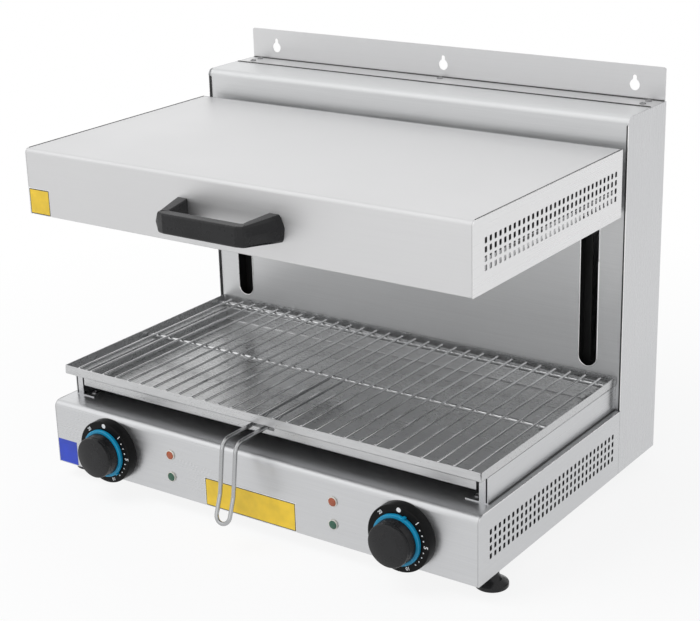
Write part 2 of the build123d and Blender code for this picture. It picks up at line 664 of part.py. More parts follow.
# ---- hood ----------------------------------------------------------------------------
def hood_shell():
    """Front and top of the hood in one sheet, with folded-in front and rear edges."""
    back = Y_HOOD_BACK - SHEET - SEAM
    path = [
        (Y_HOOD + HOOD_RETURN, Z_HOOD),
        (Y_HOOD, Z_HOOD),
        (Y_HOOD, Z_HOOD_TOP),
        (back, Z_HOOD_TOP),
        (back, Z_HOOD_TOP - HOOD_RETURN),
    ]
    return folded_sheet(path, [0, HOOD_RADIUS, 0], SHEET, -X_HOOD_INSIDE, X_HOOD_INSIDE)


def hood_side():
    return side_plate(Y_HOOD, Y_HOOD_BACK, Z_HOOD, Z_HOOD_TOP, HOOD_RADIUS, X_HOOD_SIDE, True)


def hood_back_panel():
    """Rear panel of the hood, folded in at its lower edge."""
    path = [
        (Y_HOOD_BACK, Z_HOOD_TOP),
        (Y_HOOD_BACK, Z_HOOD),
        (Y_HOOD_BACK - HOOD_RETURN, Z_HOOD),
    ]
    return folded_sheet(path, 0, SHEET, -X_HOOD_INSIDE, X_HOOD_INSIDE)


def reflector():
    """Bright trough above the elements, open for the elements' upright ends."""
    edge = SHEET + FIT + REFLECTOR_SHEET
    front = Y_HOOD + edge
    back = Y_HOOD_BACK - edge
    low = Z_HOOD + SHEET + FIT
    path = [
        (front, low),
        (front + REFLECTOR_SLOPE, Z_REFLECTOR),
        (back - REFLECTOR_SLOPE, Z_REFLECTOR),
        (back, low),
    ]
    trough = folded_sheet(path, 0, REFLECTOR_SHEET, -X_HOOD_INSIDE, X_HOOD_INSIDE, Side.LEFT)
    for x, y in element_ends():
        hole = ELEMENT_RADIUS + FIT
        trough -= post(x, y, hole, Z_REFLECTOR - SHEET, Z_REFLECTOR + 2 * SHEET, WIRE_SIDES)
    return trough


def element_rows():
    """Y of each straight leg of an element, front to back."""
    span = (ELEMENT_LEGS - 1) * ELEMENT_LEG_SPACING
    front = (Y_HOOD + Y_HOOD_BACK - span) / 2
    return [front + i * ELEMENT_LEG_SPACING for i in range(ELEMENT_LEGS)]


def element_ends():
    """The four places where elements pass up through the reflector."""
    x = X_HOOD_SIDE - ELEMENT_END_GAP
    rows = element_rows()
    return [(side * x, y) for side in (-1, 1) for y in (rows[0], rows[-1])]


def heating_element():
    """Right tubular heater: four legs joined by bends, its ends turned up."""
    outer = X_HOOD_SIDE - ELEMENT_END_GAP
    level = Z_HOOD + ELEMENT_RISE
    tail = Z_REFLECTOR + REFLECTOR_SHEET + ELEMENT_STUB
    rows = element_rows()
    route = [(outer, rows[0], tail), (outer, rows[0], level)]
    inner = True
    for here, after in zip(rows, rows[1:]):
        x = ELEMENT_CENTRE_GAP if inner else outer
        route += [(x, here, level), (x, after, level)]
        inner = not inner
    route += [(outer, rows[-1], level), (outer, rows[-1], tail)]
    return wire(eased(route, ELEMENT_BEND, BEND_CHORDS), ELEMENT_RADIUS, WIRE_SIDES)


def element_hangers():
    """Cross plates under the reflector, with a window for each leg."""
    rows = element_rows()
    level = Z_HOOD + ELEMENT_RISE
    low = level - HANGER_WINDOW / 2 - HANGER_LIP
    front = rows[0] - HANGER_WINDOW / 2 - HANGER_LIP
    back = rows[-1] + HANGER_WINDOW / 2 + HANGER_LIP
    outline = Rectangle(back - front, Z_REFLECTOR - low)
    outline = Pos((front + back) / 2, (low + Z_REFLECTOR) / 2) * outline
    outline -= [Pos(y, level) * Rectangle(HANGER_WINDOW, HANGER_WINDOW) for y in rows]
    middle = (ELEMENT_CENTRE_GAP + X_HOOD_SIDE - ELEMENT_END_GAP) / 2
    return [extrude(Plane.YZ.offset(x) * outline, amount=HANGER_SHEET) for x in (-middle, middle)]


def hood_handle():
    """Black bow: a stout grip on two legs that splay out to the hood."""
    front = Y_HOOD - HANDLE_REACH
    grip = HANDLE_GRIP / 2
    foot_outer = grip + HANDLE_SPLAY
    foot_inner = foot_outer - HANDLE_FOOT
    inner_grip = grip - HANDLE_BAR
    path = [(-foot_outer, Y_HOOD), (-grip, front), (grip, front), (foot_outer, Y_HOOD)]
    outside = eased(path, HANDLE_CORNER, BEND_CHORDS)
    back = front + HANDLE_BAR
    path = [(foot_inner, Y_HOOD), (inner_grip, back), (-inner_grip, back), (-foot_inner, Y_HOOD)]
    inside = eased(path, HANDLE_CORNER / 2, BEND_CHORDS)
    outline = make_face(Polyline(*outside, *inside, close=True))
    grip_middle = Z_HANDLE_FOOT - HANDLE_DROOP
    side = [
        (Y_HOOD, Z_HANDLE_FOOT - HANDLE_FOOT_HEIGHT / 2),
        (Y_HOOD, Z_HANDLE_FOOT + HANDLE_FOOT_HEIGHT / 2),
        (front, grip_middle + HANDLE_GRIP_HEIGHT / 2),
        (front, grip_middle - HANDLE_GRIP_HEIGHT / 2),
    ]
    profile = make_face(Polyline(*side, close=True))
    bow = extrude(Plane.XY.offset(Z_HOOD) * outline, amount=HOOD_HEIGHT)
    bow &= extrude(Plane.YZ.offset(-foot_outer) * profile, amount=2 * foot_outer)
    rims = bow.edges().filter_by(lambda e: e.center().Y < Y_HOOD - SHEET)
    rims = rims.filter_by(lambda e: abs(e.tangent_at(0.5).Z) < 0.5)
    return chamfer(rims, HANDLE_EDGE)


def handle_screws():
    """Heads of the two screws that hold the handle from inside the hood."""
    seat = Y_HOOD + SHEET
    heads = []
    for x in (-X_HANDLE_FOOT, X_HANDLE_FOOT):
        heads.append(Pos(x, seat, Z_HANDLE_FOOT) * Rot(-90, 0, 0) * screw_head(0, 0, 0))
    return heads


# ---- tray rails, tray and rack ---------------------------------------------------------
def rail_screw_places():
    x = X_RAIL - RAIL_FOOT_FLANGE + RAIL_SCREW_EDGE
    front = Y_RAIL + RAIL_SCREW_INSET
    back = Y_FASCIA - FIT - RAIL_SCREW_INSET
    return [(side * x, y) for side in (-1, 1) for y in (front, back)]


def tray_rail():
    """Right rail: a folded channel with a front tab bent up from its foot flange."""
    path = [
        (X_RAIL - RAIL_FOOT_FLANGE, Z_DECK),
        (X_RAIL, Z_DECK),
        (X_RAIL, Z_RAIL_TOP),
        (X_RAIL - RAIL_TOP_FLANGE, Z_RAIL_TOP),
    ]
    back = Y_FASCIA - FIT
    rail = folded_channel(path, RAIL_SHEET, Y_RAIL, back, Side.LEFT)
    tab_outer = X_RAIL - RAIL_SHEET - RAIL_TAB_GAP
    tab_top = Z_RAIL_TOP - RAIL_SHEET - FIT
    rail += block(tab_outer - RAIL_TAB, tab_outer, Y_RAIL, Y_RAIL + RAIL_SHEET, Z_DECK, tab_top)
    return rail


def rail_screws():
    return [screw_head(x, y, Z_DECK + RAIL_SHEET) for x, y in rail_screw_places()]


def stepped_box(inset, low, ledge, high):
    """The tray's stepped volume, drawn in by one sheet or by none."""
    x = X_TRAY - inset
    front = Y_TRAY + inset
    back = Y_TRAY_BACK - inset
    step = TRAY_LEDGE
    upper = block(-x, x, front, back, ledge, high)
    return upper + block(step - x, x - step, front + step, back - step, low, high)


def drip_tray():
    """Stepped pan hanging by its ledge between the rails, notched for the rack's handle."""
    tray = stepped_box(0, Z_PAN, Z_LEDGE, Z_RIM)
    tray -= stepped_box(TRAY_SHEET, Z_PAN + TRAY_SHEET, Z_LEDGE + TRAY_SHEET, Z_RIM + TRAY_SHEET)
    wall = Y_TRAY + TRAY_LEDGE
    sill = Z_PAN + TRAY_SHEET + TRAY_NOTCH_SILL
    half = TRAY_NOTCH / 2
    return tray - block(-half, half, wall, wall + TRAY_SHEET, sill, Z_LEDGE)


def rack_handle():
    """One wire welded under the rack that leaves through the notch, turns down and comes back."""
    root_level = Z_CROSS_WIRE - CROSS_WIRE_RADIUS - WELD_GAP - LOOP_RADIUS
    pass_level = Z_DECK + LOOP_HEIGHT
    ledge_end = Y_TRAY + TRAY_LEDGE + TRAY_SHEET
    half = LOOP_WIDTH / 2
    run = [
        (cross_wire_rows()[1] + LOOP_ROOT_LAP, root_level),
        (ledge_end + LOOP_RAMP_END, root_level),
        (ledge_end + LOOP_RAMP_START, pass_level),
        (Y_FRONT - LOOP_CREST, pass_level),
        (Y_FRONT - LOOP_KNEE_REACH, Z_BASE + LOOP_KNEE_RISE),
        (Y_FRONT - LOOP_TIP_REACH, Z_BASE + LOOP_TIP_RISE),
    ]
    left = [(-half, y, z) for y, z in run]
    right = [(half, y, z) for y, z in reversed(run)]
    bends = [LOOP_BEND] * 4 + [LOOP_TIP_BEND, LOOP_TIP_BEND] + [LOOP_BEND] * 4
    return wire(eased(left + right, bends, BEND_CHORDS), LOOP_RADIUS, WIRE_SIDES)


def cross_wire_rows():
    """Y of the front, middle and rear cross wires."""
    front = Y_TRAY + TRAY_SHEET + RACK_FRONT_GAP + CROSS_WIRE_FRONT_END
    back = Y_TRAY_BACK - TRAY_SHEET - RACK_REAR_GAP - CROSS_WIRE_REAR_END
    return [front, (front + back) / 2, back]


def wire_rack():
    """Long wires laid across three cross wires."""
    front = Y_TRAY + TRAY_SHEET + RACK_FRONT_GAP
    back = Y_TRAY_BACK - TRAY_SHEET - RACK_REAR_GAP
    outermost = X_TRAY - TRAY_SHEET - RACK_SIDE_MARGIN
    pitch = 2 * outermost / (RACK_WIRES - 1)
    wires = []
    for i in range(RACK_WIRES):
        x = i * pitch - outermost
        wires.append(spigot(x, Z_RACK_WIRE, RACK_WIRE_RADIUS, front, back, WIRE_SIDES))
    reach = X_TRAY - TRAY_SHEET - CROSS_WIRE_SIDE_GAP
    for y in cross_wire_rows():
        ends = [(-reach, y, Z_CROSS_WIRE), (reach, y, Z_CROSS_WIRE)]
        wires.append(wire(ends, CROSS_WIRE_RADIUS, WIRE_SIDES))
    return wires


# ---- controls ------------------------------------------------------------------------
def dial_plates():
    plates = []
    for x in (-X_KNOB, X_KNOB):
        plate = spigot(x, Z_CONTROLS, DIAL_RADIUS, Y_DIAL_FACE, Y_FRONT)
        plate -= spigot(x, Z_CONTROLS, DIAL_HOLE, Y_DIAL_FACE, Y_FRONT, FASTENER_SIDES)
        plates.append(plate)
    return plates


def energy_regulators():
    """Control boxes behind the front panel, each with a bush bored for its spindle."""
    face = Y_FRONT + SHEET
    half = REGULATOR_SIZE / 2
    back = face + REGULATOR_DEPTH
    bore = SPINDLE_RADIUS + SPINDLE_CLEARANCE
    boxes = []
    for x in (-X_KNOB, X_KNOB):
        box = block(x - half, x + half, face, back, Z_CONTROLS - half, Z_CONTROLS + half)
        box += spigot(x, Z_CONTROLS, REGULATOR_BUSH, Y_FRONT - SHEET, face, FASTENER_SIDES)
        box -= spigot(x, Z_CONTROLS, bore, Y_FRONT - SHEET, face + SPINDLE_IN_REGULATOR)
        boxes.append(box)
    return boxes


def knob_spindle(x):
    end = Y_FRONT + SHEET + SPINDLE_IN_REGULATOR - FIT
    return spigot(x, Z_CONTROLS, SPINDLE_RADIUS, Y_RING_FACE - SPINDLE_IN_KNOB + FIT, end)


def knob_ring(x, setting):
    """Blue ring with a nib that points at the setting, degrees clockwise from the top."""
    outline = RegularPolygon(KNOB_RING_RADIUS, KNOB_SIDES)
    outline -= RegularPolygon(around(SPINDLE_RADIUS + WELD_GAP, FASTENER_SIDES), FASTENER_SIDES)
    reach = KNOB_RING_RADIUS + NIB_REACH
    nib = Rectangle(NIB_WIDTH, reach - KNOB_CAP_RADIUS, align=(Align.CENTER, Align.MAX))
    outline += Rot(0, 0, -setting) * Pos(0, reach) * nib
    return upright(Pos(x, Z_CONTROLS) * outline, Y_RING_FACE, Y_RING_BACK)


def knob_grip(x):
    """Turned grip: a tapered barrel, a shallow step and a crowned cap."""
    barrel = KNOB_LENGTH - KNOB_CAP_LENGTH
    levels = [
        (KNOB_SKIRT_RADIUS, 0),
        (KNOB_CAP_RADIUS - KNOB_GROOVE, barrel),
        (KNOB_CAP_RADIUS, barrel + KNOB_GROOVE),
        (KNOB_CAP_RADIUS, KNOB_LENGTH - KNOB_CROWN),
        (KNOB_CAP_RADIUS - KNOB_CROWN, KNOB_LENGTH),
    ]
    grip = stacked(levels, KNOB_SIDES)
    pocket = around(SPINDLE_RADIUS + WELD_GAP, FASTENER_SIDES)
    grip -= post(0, 0, pocket, 0, SPINDLE_IN_KNOB, FASTENER_SIDES)
    return Pos(x, Y_RING_FACE, Z_CONTROLS) * Rot(90, 0, 0) * grip


def lamp_places():
    half = LAMP_SPACING / 2
    return [(side * X_LAMP, Z_CONTROLS + rise) for side in (-1, 1) for rise in (half, -half)]


def lamp_bezels():
    """Four bezels on the front panel."""
    front = Y_FRONT - LAMP_BEZEL
    return [spigot(x, z, LAMP_RADIUS, front, Y_FRONT, LAMP_SIDES) for x, z in lamp_places()]


def lamp_lenses(upper):
    """The orange lenses are the upper two, the green ones the lower two."""
    back = Y_FRONT - LAMP_BEZEL
    places = [(x, z) for x, z in lamp_places() if (z > Z_CONTROLS) == upper]
    return [spigot(x, z, LENS_RADIUS, back - LENS_PROUD, back, LAMP_SIDES) for x, z in places]


# ---- base fittings -------------------------------------------------------------------
def cable_gland():
    """Bored gland: a dome outside the back panel and a barrel through it."""
    x = X_GLAND
    z = Z_BASE + GLAND_RISE
    inside = Y_BACK - SHEET - GLAND_NUT
    outside = Y_BACK + GLAND_REACH
    gland = spigot(x, z, GLAND_DOME, Y_BACK, Y_BACK + GLAND_NUT, GLAND_SIDES)
    gland += spigot(x, z, GLAND_BARREL, inside, outside, GLAND_SIDES)
    return gland - spigot(x, z, GLAND_BORE, inside, outside)


def terminal_block():
    """Mains terminals on the bottom pan, slotted between the poles."""
    x = X_GLAND
    back = Y_BACK - TERMINAL_FORWARD
    low = Z_BASE + SHEET
    half = TERMINAL_WIDTH / 2
    body = block(x - half, x + half, back - TERMINAL_DEPTH, back, low, low + TERMINAL_HEIGHT)
    pitch = TERMINAL_WIDTH / TERMINAL_POLES
    for i in range(1, TERMINAL_POLES):
        slot = x - half + i * pitch
        top = low + TERMINAL_HEIGHT
        body -= block(slot - SHEET, slot + SHEET, back - TERMINAL_DEPTH, back, low + pitch / 2, top)
    return body


# ---- write every piece ---------------------------------------------------------------
def write_pair(name, right_piece):
    """A piece and its mirror image across the plane of symmetry."""
    export_step(right_piece, f"parts/{name}_right.step")
    export_step(mirror(right_piece, about=Plane.YZ), f"parts/{name}_left.step")


def write_group(name, solids):
    """Separate solids that share one node."""
    export_step(Compound(children=list(solids)), f"parts/{name}.step")


os.makedirs("parts", exist_ok=True)

write_pair("base_side", base_side())
write_pair("column_side", column_side())
write_pair("slot_channel", slot_channel())
write_pair("lift_spring", lift_spring())
write_pair("lift_arm", lift_arm())
write_pair("carriage", carriage())
write_pair("hood_side", hood_side())
write_pair("heating_element", heating_element())
write_pair("tray_rail", tray_rail())

export_step(base_shell(), "parts/base_shell.step")
export_step(base_bottom_pan(), "parts/base_bottom_pan.step")
export_step(column_fascia(), "parts/column_fascia.step")
export_step(column_back_panel(), "parts/column_back_panel.step")
export_step(wall_bracket(), "parts/wall_bracket.step")
export_step(rod_bracket(True), "parts/rod_bracket_upper.step")
export_step(rod_bracket(False), "parts/rod_bracket_lower.step")
export_step(carriage_crossbar(), "parts/carriage_crossbar.step")
export_step(hood_shell(), "parts/hood_shell.step")
export_step(hood_back_panel(), "parts/hood_back_panel.step")
export_step(reflector(), "parts/reflector.step")
export_step(hood_handle(), "parts/hood_handle.step")
export_step(drip_tray(), "parts/drip_tray.step")
export_step(rack_handle(), "parts/rack_handle.step")
export_step(cable_gland(), "parts/cable_gland.step")
export_step(terminal_block(), "parts/terminal_block.step")

write_group("cover_screws", cover_screws())
write_group("guide_rods", guide_rods())
write_group("element_hangers", element_hangers())
write_group("handle_screws", handle_screws())
write_group("rail_screws", rail_screws())
write_group("wire_rack", wire_rack())
write_group("dial_plates", dial_plates())
write_group("energy_regulators", energy_regulators())
write_group("lamp_bezels", lamp_bezels())
write_group("lamp_lenses_orange", lamp_lenses(True))
write_group("lamp_lenses_green", lamp_lenses(False))

for place, (x, y) in foot_places().items():
    export_step(foot(x, y), f"parts/foot_{place}.step")

knobs = [("left", -X_KNOB, LEFT_SETTING), ("right", X_KNOB, RIGHT_SETTING)]
for side, x, setting in knobs:
    export_step(knob_spindle(x), f"parts/knob_spindle_{side}.step")
    export_step(knob_ring(x, setting), f"parts/knob_ring_{side}.step")
    export_step(knob_grip(x), f"parts/knob_grip_{side}.step")
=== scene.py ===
# %% [markdown]
# # Dressing a cheese melter
# The machine is a heated hood that slides up and down on a steel column, above a tray with
# a wire rack. The solids fix where every piece sits and how it moves. Here each visible piece
# gets the soft folds, round wires and brushed grain that the solids leave out.

# %% Load the frame
import math
import bmesh
import bpy
import numpy as np
from mathutils import Matrix, Vector


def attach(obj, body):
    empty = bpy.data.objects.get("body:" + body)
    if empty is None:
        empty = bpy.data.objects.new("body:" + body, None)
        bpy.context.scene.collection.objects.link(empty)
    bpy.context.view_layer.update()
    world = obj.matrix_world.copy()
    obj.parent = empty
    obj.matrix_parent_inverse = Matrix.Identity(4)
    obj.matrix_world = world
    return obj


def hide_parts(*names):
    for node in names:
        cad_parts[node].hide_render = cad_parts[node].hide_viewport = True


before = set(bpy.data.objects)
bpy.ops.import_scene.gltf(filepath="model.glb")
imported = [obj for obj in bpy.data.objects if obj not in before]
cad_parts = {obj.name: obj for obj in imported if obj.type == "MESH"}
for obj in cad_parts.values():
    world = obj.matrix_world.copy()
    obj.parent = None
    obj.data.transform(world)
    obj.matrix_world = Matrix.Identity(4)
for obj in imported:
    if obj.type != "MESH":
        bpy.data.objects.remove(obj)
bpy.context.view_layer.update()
MM = 0.001

# %% [markdown]
# ## Where the photographer stood
# The camera's place was solved once from the corners of the casing, so the render and the
# photograph share one perspective. A lens of 84 mm is a short telephoto: it keeps the long
# front edges from running apart. The rows of the turn are the camera's right, down and ahead,
# and Blender wants its right, up and back, so two of them change sign.

# %% Camera
CAMERA_PLACE = (1.067424, -1.485608, 0.861301)
CAMERA_TURN = np.array([1.85208663, 0.56264247, -0.43405550])
LENS_MM = 84.13
SENSOR_MM = 36.0
FARTHEST_SEEN = 20.0


def turn_about(vector):
    """Matrix of a turn: the axis is the vector's direction and the angle is its length.

    It is 1 + sin(angle) K + (1 - cos(angle)) K K, with K the cross product with the axis.
    """
    angle = np.linalg.norm(vector)
    x, y, z = vector / angle
    cross = np.array([[0, -z, y], [z, 0, -x], [-y, x, 0]])
    return np.eye(3) + math.sin(angle) * cross + (1 - math.cos(angle)) * cross @ cross


camera_data = bpy.data.cameras.new("camera")
camera_data.sensor_width = SENSOR_MM
camera_data.lens = LENS_MM
camera_data.clip_end = FARTHEST_SEEN
camera = bpy.data.objects.new("camera", camera_data)
bpy.context.scene.collection.objects.link(camera)
bpy.context.scene.camera = camera
right, down, ahead = turn_about(CAMERA_TURN)
pose = Matrix.Identity(4)
for column, axis in enumerate((right, -down, -ahead)):
    for row in range(3):
        pose[row][column] = axis[row]
pose.translation = CAMERA_PLACE
camera.matrix_world = pose
print("camera looks along", ahead.round(3))

# %% [markdown]
# ## Small helpers for nodes
# A shader is a tree of nodes. The same joints turn up in the sky, in the floor and in every
# finish, so each is a short function that takes a tree and hands back the socket to go on from.

# %% Helpers for nodes
def combined(tree, operation, first, second):
    """A Math node on two sockets, such as the larger of them, their sum or their product."""
    node = tree.nodes.new("ShaderNodeMath")
    node.operation = operation
    tree.links.new(first, node.inputs[0])
    tree.links.new(second, node.inputs[1])
    return node.outputs[0]


def glowing(tree, kind, colour, strength):
    """A Background or an Emission node of one colour and strength."""
    node = tree.nodes.new(kind)
    node.inputs["Color"].default_value = (*colour, 1)
    node.inputs["Strength"].default_value = strength
    return node.outputs[0]


def mixed(tree, share, first, second):
    """A Mix Shader node: first (1 - share) + second share."""
    node = tree.nodes.new("ShaderNodeMixShader")
    for source, socket in zip((share, first, second), node.inputs):
        tree.links.new(source, socket)
    return node.outputs[0]


# %% [markdown]
# ## A white room and soft lamps
# Polished metal has no colour of its own: it shows the room. A product photographer builds a
# white room and hangs large soft lamps in it. The sky is white to the camera, in reflections
# and through glass, and dimmer where it only lights the pieces, so pale steel keeps its
# shading. The small key lamp is hidden from metal, where it would burn a white line into each
# fold, and three wide weak lamps draw a broad soft one there instead.

# %% World
world = bpy.data.worlds.new("studio")
bpy.context.scene.world = world
world.use_nodes = True
sky = world.node_tree
sky.nodes.clear()
sky_rays = sky.nodes.new("ShaderNodeLightPath").outputs
in_surfaces = combined(sky, "MAXIMUM", sky_rays["Is Glossy Ray"], sky_rays["Is Transmission Ray"])
sky_seen = combined(sky, "MAXIMUM", sky_rays["Is Camera Ray"], in_surfaces)
dim_sky = glowing(sky, "ShaderNodeBackground", (0.95, 0.97, 1.0), 0.55)
white_sky = glowing(sky, "ShaderNodeBackground", (1, 1, 1), 1.0)
sky_out = sky.nodes.new("ShaderNodeOutputWorld")
sky.links.new(mixed(sky, sky_seen, dim_sky, white_sky), sky_out.inputs["Surface"])
print("world:", len(sky.nodes), "nodes")


# %% Lamps
def soft_lamp(name, place, aim, size, watts, mirrored=True):
    """A square area lamp at a place, turned to face a point, shown in metal or not."""
    data = bpy.data.lights.new(name, "AREA")
    data.size = size
    data.energy = watts
    lamp = bpy.data.objects.new(name, data)
    bpy.context.scene.collection.objects.link(lamp)
    away = np.array(place) - np.array(aim)
    lamp.location = place
    lamp.rotation_mode = "QUATERNION"
    lamp.rotation_quaternion = Vector(away).to_track_quat("Z", "Y")
    lamp.visible_glossy = mirrored
    print(f"{name}: {watts} W over {size} m")


soft_lamp("lamp_key", (-1.0, -1.3, 2.4), (0, 0, 0.2), 1.5, 30, mirrored=False)
soft_lamp("lamp_sheet_left", (-1.7, -1.5, 2.6), (0, 0, 0.2), 3.0, 9)
soft_lamp("lamp_sheet_front", (0.4, -3.2, 0.7), (0, 0, 0.25), 2.6, 9)
soft_lamp("lamp_sheet_back", (-2.4, 3.2, 1.7), (0, 0, 0.4), 3.0, 5)

# %% [markdown]
# ## Metres of arrays instead of clicks
# Every surface here is an array of points and an array of faces. Four small steps serve them
# all: a grid of quads over the points, several parts put together, a weld where they meet,
# and a wall of even thickness behind a skin. Whole arrays at once keep this quick.

# %% Helpers for surfaces
def weld(points, faces):
    """Merge points that share a place, and drop flat faces and points that no face uses.

    Faces are rows of four, and a triangle repeats a corner.
    """
    _, first, index = np.unique(
        np.round(points, 4), axis=0, return_index=True, return_inverse=True
    )
    faces = index.reshape(-1)[faces]
    flat = (faces[:, 0] == faces[:, 2]) | (faces[:, 1] == faces[:, 3])
    faces = faces[~flat]
    used, index = np.unique(faces, return_inverse=True)
    return points[first][used], index.reshape(faces.shape)


def together(*parts):
    """Several (points, faces) pairs as one pair, not welded."""
    sizes = np.cumsum([0] + [len(points) for points, _ in parts])
    points = np.concatenate([points for points, _ in parts])
    faces = np.concatenate([faces + size for (_, faces), size in zip(parts, sizes)])
    return points, faces


def moved(part, offset):
    """The same part with an (x, y, z) added to each of its points."""
    return part[0] + offset, part[1]


def grid(points, closed=False):
    """Quads between neighbours of an array of points (u, v, 3), closed along v or open."""
    nu, nv = points.shape[:2]
    index = np.arange(nu * nv).reshape(nu, nv)
    if closed:
        index = np.concatenate([index, index[:, :1]], axis=1)
    corners = [index[:-1, :-1], index[1:, :-1], index[1:, 1:], index[:-1, 1:]]
    faces = np.stack([corner.reshape(-1) for corner in corners], axis=1)
    return points.reshape(-1, 3), faces


def evenly(start, end, count):
    """Stations that cut a length into a count of equal steps."""
    return np.linspace(start, end, count + 1)


print("a grid of 3 by 4 points has", len(grid(np.zeros((3, 4, 3)))[1]), "quads")


# %% Helper that gives a skin its thickness
def face_normals(points, faces):
    """Half the cross product of the diagonals: its length is the face's area."""
    a, b, c, d = (points[faces[:, i]] for i in range(4))
    return np.cross(c - a, d - b) / 2


def thicken(points, faces, depth):
    """A skin becomes a plate: each point's twin lies a depth behind it, rims are walled.

    Behind is against the mean of the unit normals of the faces round the point, and a rim is
    an edge with a face on one side only.
    """
    normals = face_normals(points, faces)
    lengths = np.linalg.norm(normals, axis=1, keepdims=True)
    units = normals / np.maximum(lengths, 1e-12)
    sums = np.zeros_like(points)
    for corner in range(4):
        np.add.at(sums, faces[:, corner], units)
    mean = sums / np.maximum(np.linalg.norm(sums, axis=1, keepdims=True), 1e-12)
    twins = points - mean * depth
    edges = np.concatenate([faces[:, [i, (i + 1) % 4]] for i in range(4)])
    edges = edges[edges[:, 0] != edges[:, 1]]
    _, index, count = np.unique(
        np.sort(edges, axis=1), axis=0, return_inverse=True, return_counts=True
    )
    rim = edges[count[index.reshape(-1)] == 1]
    size = len(points)
    walls = np.stack([rim[:, 1], rim[:, 0], rim[:, 0] + size, rim[:, 1] + size], axis=1)
    faces = np.concatenate([faces, faces[:, ::-1] + size, walls])
    return np.concatenate([points, twins]), faces


# %% [markdown]
# ## From arrays to a Blender object
# A finished piece sits at the origin, with its place in its mesh, so that patterns on its own
# coordinates stay put. It rides on a body, takes over from the solids it stands for, and is
# shaded smooth except where two faces meet at more than a set angle.

# %% Helper that makes a piece
def piece(name, part, material, body, stands_for=(), smooth=35.0):
    """Make the object from millimetres: it sits at the origin, with its place in its mesh."""
    points, faces = part
    rows = []
    for face in faces.tolist():
        rows.append([v for i, v in enumerate(face) if v != face[i - 1]])
    mesh = bpy.data.meshes.new(name)
    mesh.from_pydata((points * MM).tolist(), [], rows)
    mesh.validate()
    mesh.polygons.foreach_set("use_smooth", np.ones(len(mesh.polygons), dtype=bool))
    mesh.set_sharp_from_angle(angle=math.radians(smooth))
    mesh.materials.append(material)
    made = bpy.data.objects.new(name, mesh)
    bpy.context.scene.collection.objects.link(made)
    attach(made, body)
    if stands_for:
        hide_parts(*stands_for)
    print(f"{name}: {len(mesh.vertices)} points, {len(mesh.polygons)} faces")


# %% [markdown]
# ## Lines with rounded corners
# A folded sheet, a bent wire and a turned knob all begin as a line of a few corners. Each
# corner gives way to an arc, and only the arcs are sampled closely, because only there does
# the light change fast.

# %% Helpers for lines
def smooth_line(corners, radii, step=9.0):
    """A line with its corners rounded: straight runs, and arcs with a sample every few degrees.

    The arc of radius r in a corner of half angle h starts r / tan(h) before the corner. At a
    share s of its turn t it is (start sin((1 - s) t) + end sin(s t)) / sin(t) from its centre.
    """
    corners = [np.array(corner, float) for corner in corners]
    samples = [corners[0][None, :]]
    for before, corner, after, radius in zip(corners, corners[1:], corners[2:], radii):
        inward = (before - corner) / np.linalg.norm(before - corner)
        onward = (after - corner) / np.linalg.norm(after - corner)
        half = math.acos(np.clip(inward @ onward, -1, 1)) / 2
        middle = (inward + onward) / np.linalg.norm(inward + onward)
        centre = corner + middle * radius / math.sin(half)
        start = corner + inward * radius / math.tan(half) - centre
        end = corner + onward * radius / math.tan(half) - centre
        turn = math.pi - 2 * half
        count = max(2, int(math.degrees(turn) / step))
        share = evenly(0, 1, count)[:, None]
        arc = start * np.sin((1 - share) * turn) + end * np.sin(share * turn)
        samples.append(centre + arc / math.sin(turn))
    samples.append(corners[-1][None, :])
    return np.concatenate(samples)


def lengths_along(line):
    """Distance travelled at each sample of a line: the running sum of its steps' lengths."""
    steps = np.linalg.norm(np.diff(line, axis=0), axis=1)
    return np.concatenate([[0], np.cumsum(steps)])


def corner_saving(radius):
    """How much shorter a right corner is once rounded: two legs r less a quarter turn."""
    return (2 - math.pi / 2) * radius


print("an 8 mm roll saves", round(corner_saving(8.0), 2), "mm of sheet")

# %% [markdown]
# ## Blanks with holes
# Sheet metal starts flat. The blank is a lattice of points in which a cell with a hole is
# swapped for a ring of quads, from the cell's border to the hole's edge. Cutting with a
# boolean would do too, but it leaves long thin faces that shade badly once they are folded.

# %% Helpers for holes
def cell_border(us, vs):
    """The outline of a lattice cell, once round, through its stations along each side."""
    sides = [
        np.stack([us[:-1], np.full(len(us) - 1, vs[0])], axis=1),
        np.stack([np.full(len(vs) - 1, us[-1]), vs[:-1]], axis=1),
        np.stack([us[:0:-1], np.full(len(us) - 1, vs[-1])], axis=1),
        np.stack([np.full(len(vs) - 1, us[0]), vs[:0:-1]], axis=1),
    ]
    flat = np.concatenate(sides)
    return np.concatenate([flat, np.zeros((len(flat), 1))], axis=1)


def rounded_hole(border, centre, half_u, half_v, radius):
    """Each border point drawn in to a box, then held to a rounded one.

    The nearest point of a smaller box is found, and the hole's edge is a radius beyond it.
    """
    centre = np.array([centre[0], centre[1], 0.0])
    span = np.abs(border - centre).max(axis=0)
    box = (border - centre) / [span[0], span[1], 1] * [half_u, half_v, 1]
    reach = np.array([half_u - radius, half_v - radius, 0])
    core = np.clip(box, -reach, reach)
    away = box - core
    size = np.maximum(np.linalg.norm(away, axis=1, keepdims=True), 1e-9)
    return centre + core + away / size * radius


def hole(u, v, half_u, half_v, radius, cell_u, cell_v):
    """A rounded hole for a blank: its middle, half sizes and corner, and its cell's half sizes.

    A hole is (first u, last u, first v, last v, function from border to edge).
    """
    def shape(border):
        return rounded_hole(border, (u, v), half_u, half_v, radius)
    return (u - cell_u, u + cell_u, v - cell_v, v + cell_v, shape)


def round_hole(u, v, radius, margin=4.0):
    """A round hole in a square cell that stands a margin off it."""
    return hole(u, v, radius, radius, radius, radius + margin, radius + margin)


print("a hole's cell:", round_hole(0.0, 0.0, 6.0)[:4])


